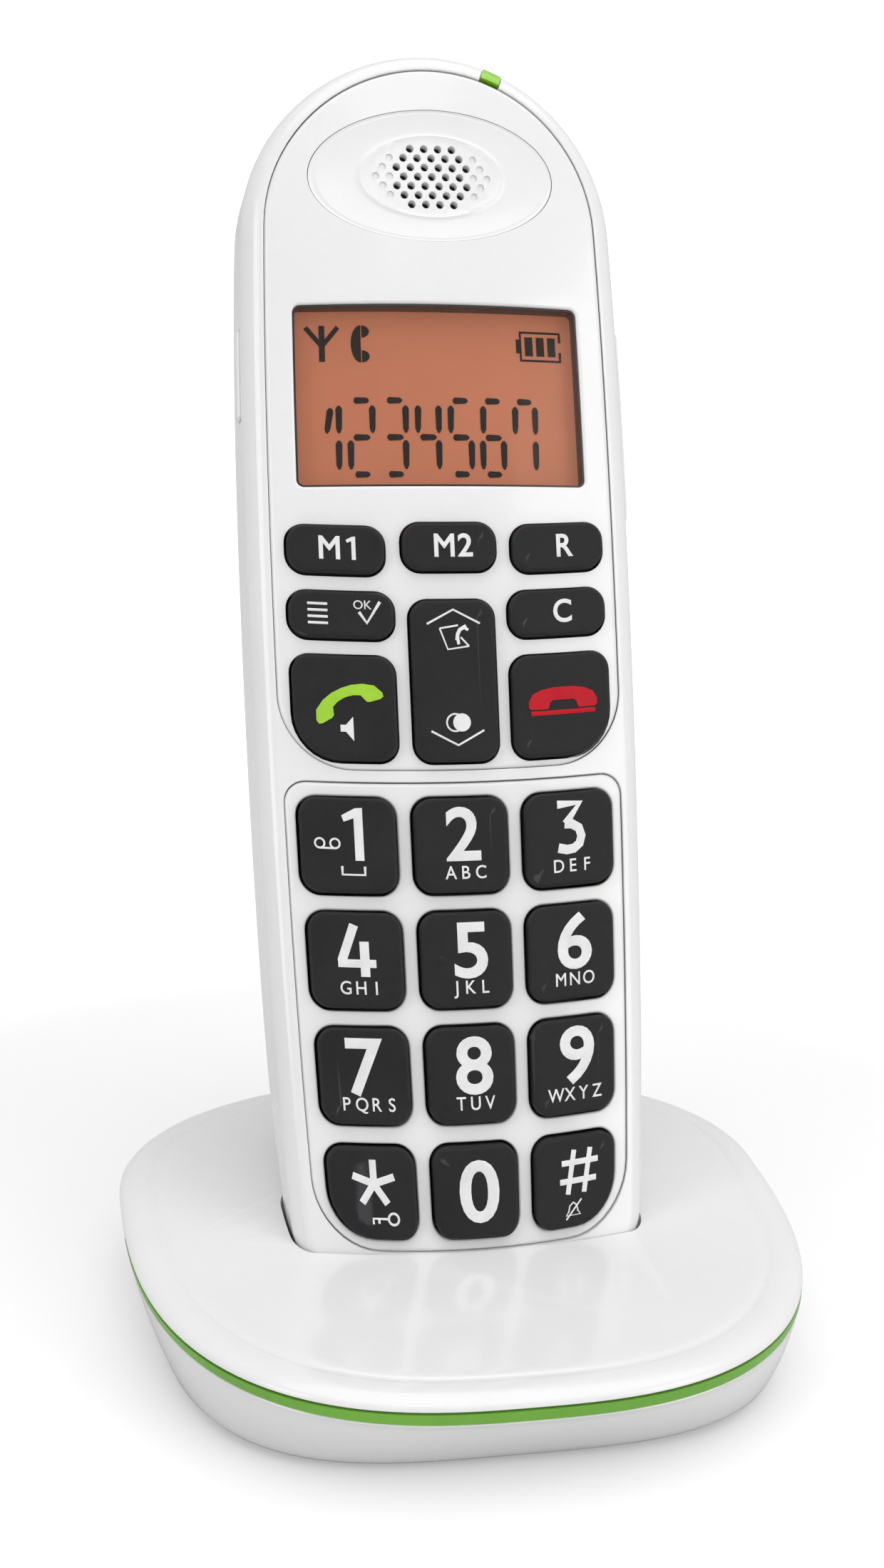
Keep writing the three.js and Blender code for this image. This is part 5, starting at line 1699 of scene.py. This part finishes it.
# %% [markdown]
# Parts inside the shells show only through openings or with the cover off.
# Their CAD shapes are right as they are, and a word in each name picks its
# finish.

# %% Finishes of the CAD nodes
CAD_FINISHES = {
    "circuit_board": board_green, "battery_cell": cell_green, "battery_terminal": steel,
    "battery_bridge": steel, "screw": steel, "microphone": steel, "charge_": gold,
    "foot": foot_grey, "socket": black_plastic, "inlet": black_plastic, "speaker": black_plastic,
    "key_mat": mat_grey,
}
dressed = 0
for name, node in frame["nodes"].items():
    if node.hide_render:
        continue
    for part, material in CAD_FINISHES.items():
        if part in name:
            node.data.materials.clear()
            node.data.materials.append(material)
            dressed += 1
            break
    else:
        print("no finish for", name)
print("CAD nodes with a finish:", dressed)

# %% [markdown]
# ## Stage and light
# The telephone stands on a plain pale floor that curves up all round, like a
# very wide plate. The floor glows a little towards the camera, as a bright
# studio sweep does, and is a calmer grey to everything else, so the white sides
# of the telephone keep their soft grey shading.

# %% Floor
floor_bm = bmesh.new()
profile = [(0.02, 0), (1.6, 0), (2.2, 0.06), (2.7, 0.3), (3.0, 0.8), (3.1, 1.6)]
line = [floor_bm.verts.new((x, 0, z)) for x, z in profile]
edges = [floor_bm.edges.new(pair) for pair in zip(line, line[1:])]
bmesh.ops.spin(
    floor_bm, geom=line + edges, cent=(0, 0, 0), axis=(0, 0, 1), angle=2 * math.pi, steps=48, use_merge=True,
)
close_up(floor_bm)
bmesh.ops.recalc_face_normals(floor_bm, faces=floor_bm.faces)
floor = as_object(floor_bm, "floor")
floor.data.shade_smooth()
floor_material = bpy.data.materials.new("floor_paper")
floor_material.use_nodes = True
nodes, link = floor_material.node_tree.nodes, floor_material.node_tree.links.new
paper = nodes["Principled BSDF"]
paper.inputs["Base Color"].default_value = (0.78, 0.78, 0.78, 1)
paper.inputs["Roughness"].default_value = 0.9
paper.inputs["Specular IOR Level"].default_value = 0.0
glow = nodes.new("ShaderNodeEmission")
glow.inputs["Color"].default_value = (1, 1, 1, 1)
distance = nodes.new("ShaderNodeVectorMath")
distance.operation = "LENGTH"
place = nodes.new("ShaderNodeTexCoord")
link(place.outputs["Object"], distance.inputs[0])


def by_distance(shader, near, far, strength_near, strength_far):
    """Makes a glow grow from one strength to another with the distance from the middle."""
    ramp = nodes.new("ShaderNodeMapRange")
    values = {"From Min": near, "From Max": far, "To Min": strength_near, "To Max": strength_far}
    for label, value in values.items():
        ramp.inputs[label].default_value = value
    link(distance.outputs["Value"], ramp.inputs["Value"])
    link(ramp.outputs["Result"], shader.inputs["Strength"])


by_distance(glow, 0.1, 0.4, 0.24, 1.2)
both = nodes.new("ShaderNodeAddShader")
ray = nodes.new("ShaderNodeLightPath")
choose = nodes.new("ShaderNodeMixShader")
plain = nodes.new("ShaderNodeBsdfDiffuse")
plain.inputs["Color"].default_value = (0.7, 0.7, 0.7, 1)
sweep = nodes.new("ShaderNodeEmission")
by_distance(sweep, 0.5, 1.2, 0, 0.18)
lit = nodes.new("ShaderNodeAddShader")
link(plain.outputs[0], lit.inputs[0])
link(sweep.outputs[0], lit.inputs[1])
link(paper.outputs[0], both.inputs[0])
link(glow.outputs[0], both.inputs[1])
link(ray.outputs["Is Camera Ray"], choose.inputs[0])
link(lit.outputs[0], choose.inputs[1])
link(both.outputs[0], choose.inputs[2])
link(choose.outputs[0], nodes["Material Output"].inputs["Surface"])
floor.data.materials.append(floor_material)
print("floor is %.1f m across" % floor.dimensions.x)

# %% [markdown]
# Three large soft lamps give broad, pale highlights with no hard shadow: one
# overhead, one at the right and a weaker one at the left. A white world fills
# the rest.

# %% Lights
world = bpy.data.worlds.new("studio")
world.use_nodes = True
world.node_tree.nodes["Background"].inputs["Color"].default_value = (1, 1, 1, 1)
world.node_tree.nodes["Background"].inputs["Strength"].default_value = 0.79
scene.world = world


def softbox(name, place, aim, size, power):
    lamp = bpy.data.lights.new(name, "AREA")
    lamp.shape = "RECTANGLE"
    lamp.size, lamp.size_y = size
    lamp.energy = power
    thing = bpy.data.objects.new(name, lamp)
    thing.location = place
    thing.rotation_euler = (Vector(aim) - Vector(place)).to_track_quat("-Z", "Y").to_euler()
    scene.collection.objects.link(thing)
    return thing


softbox("overhead", (0.1, -0.1, 1.1), (0, 0, 0), (1.3, 1.3), 5.8)
softbox("right_front", (0.9, -0.9, 0.5), (0, 0, 0.09), (0.7, 0.9), 4.3)
softbox("left_front", (-1.1, -0.6, 0.6), (0, 0, 0.09), (0.5, 0.8), 3)
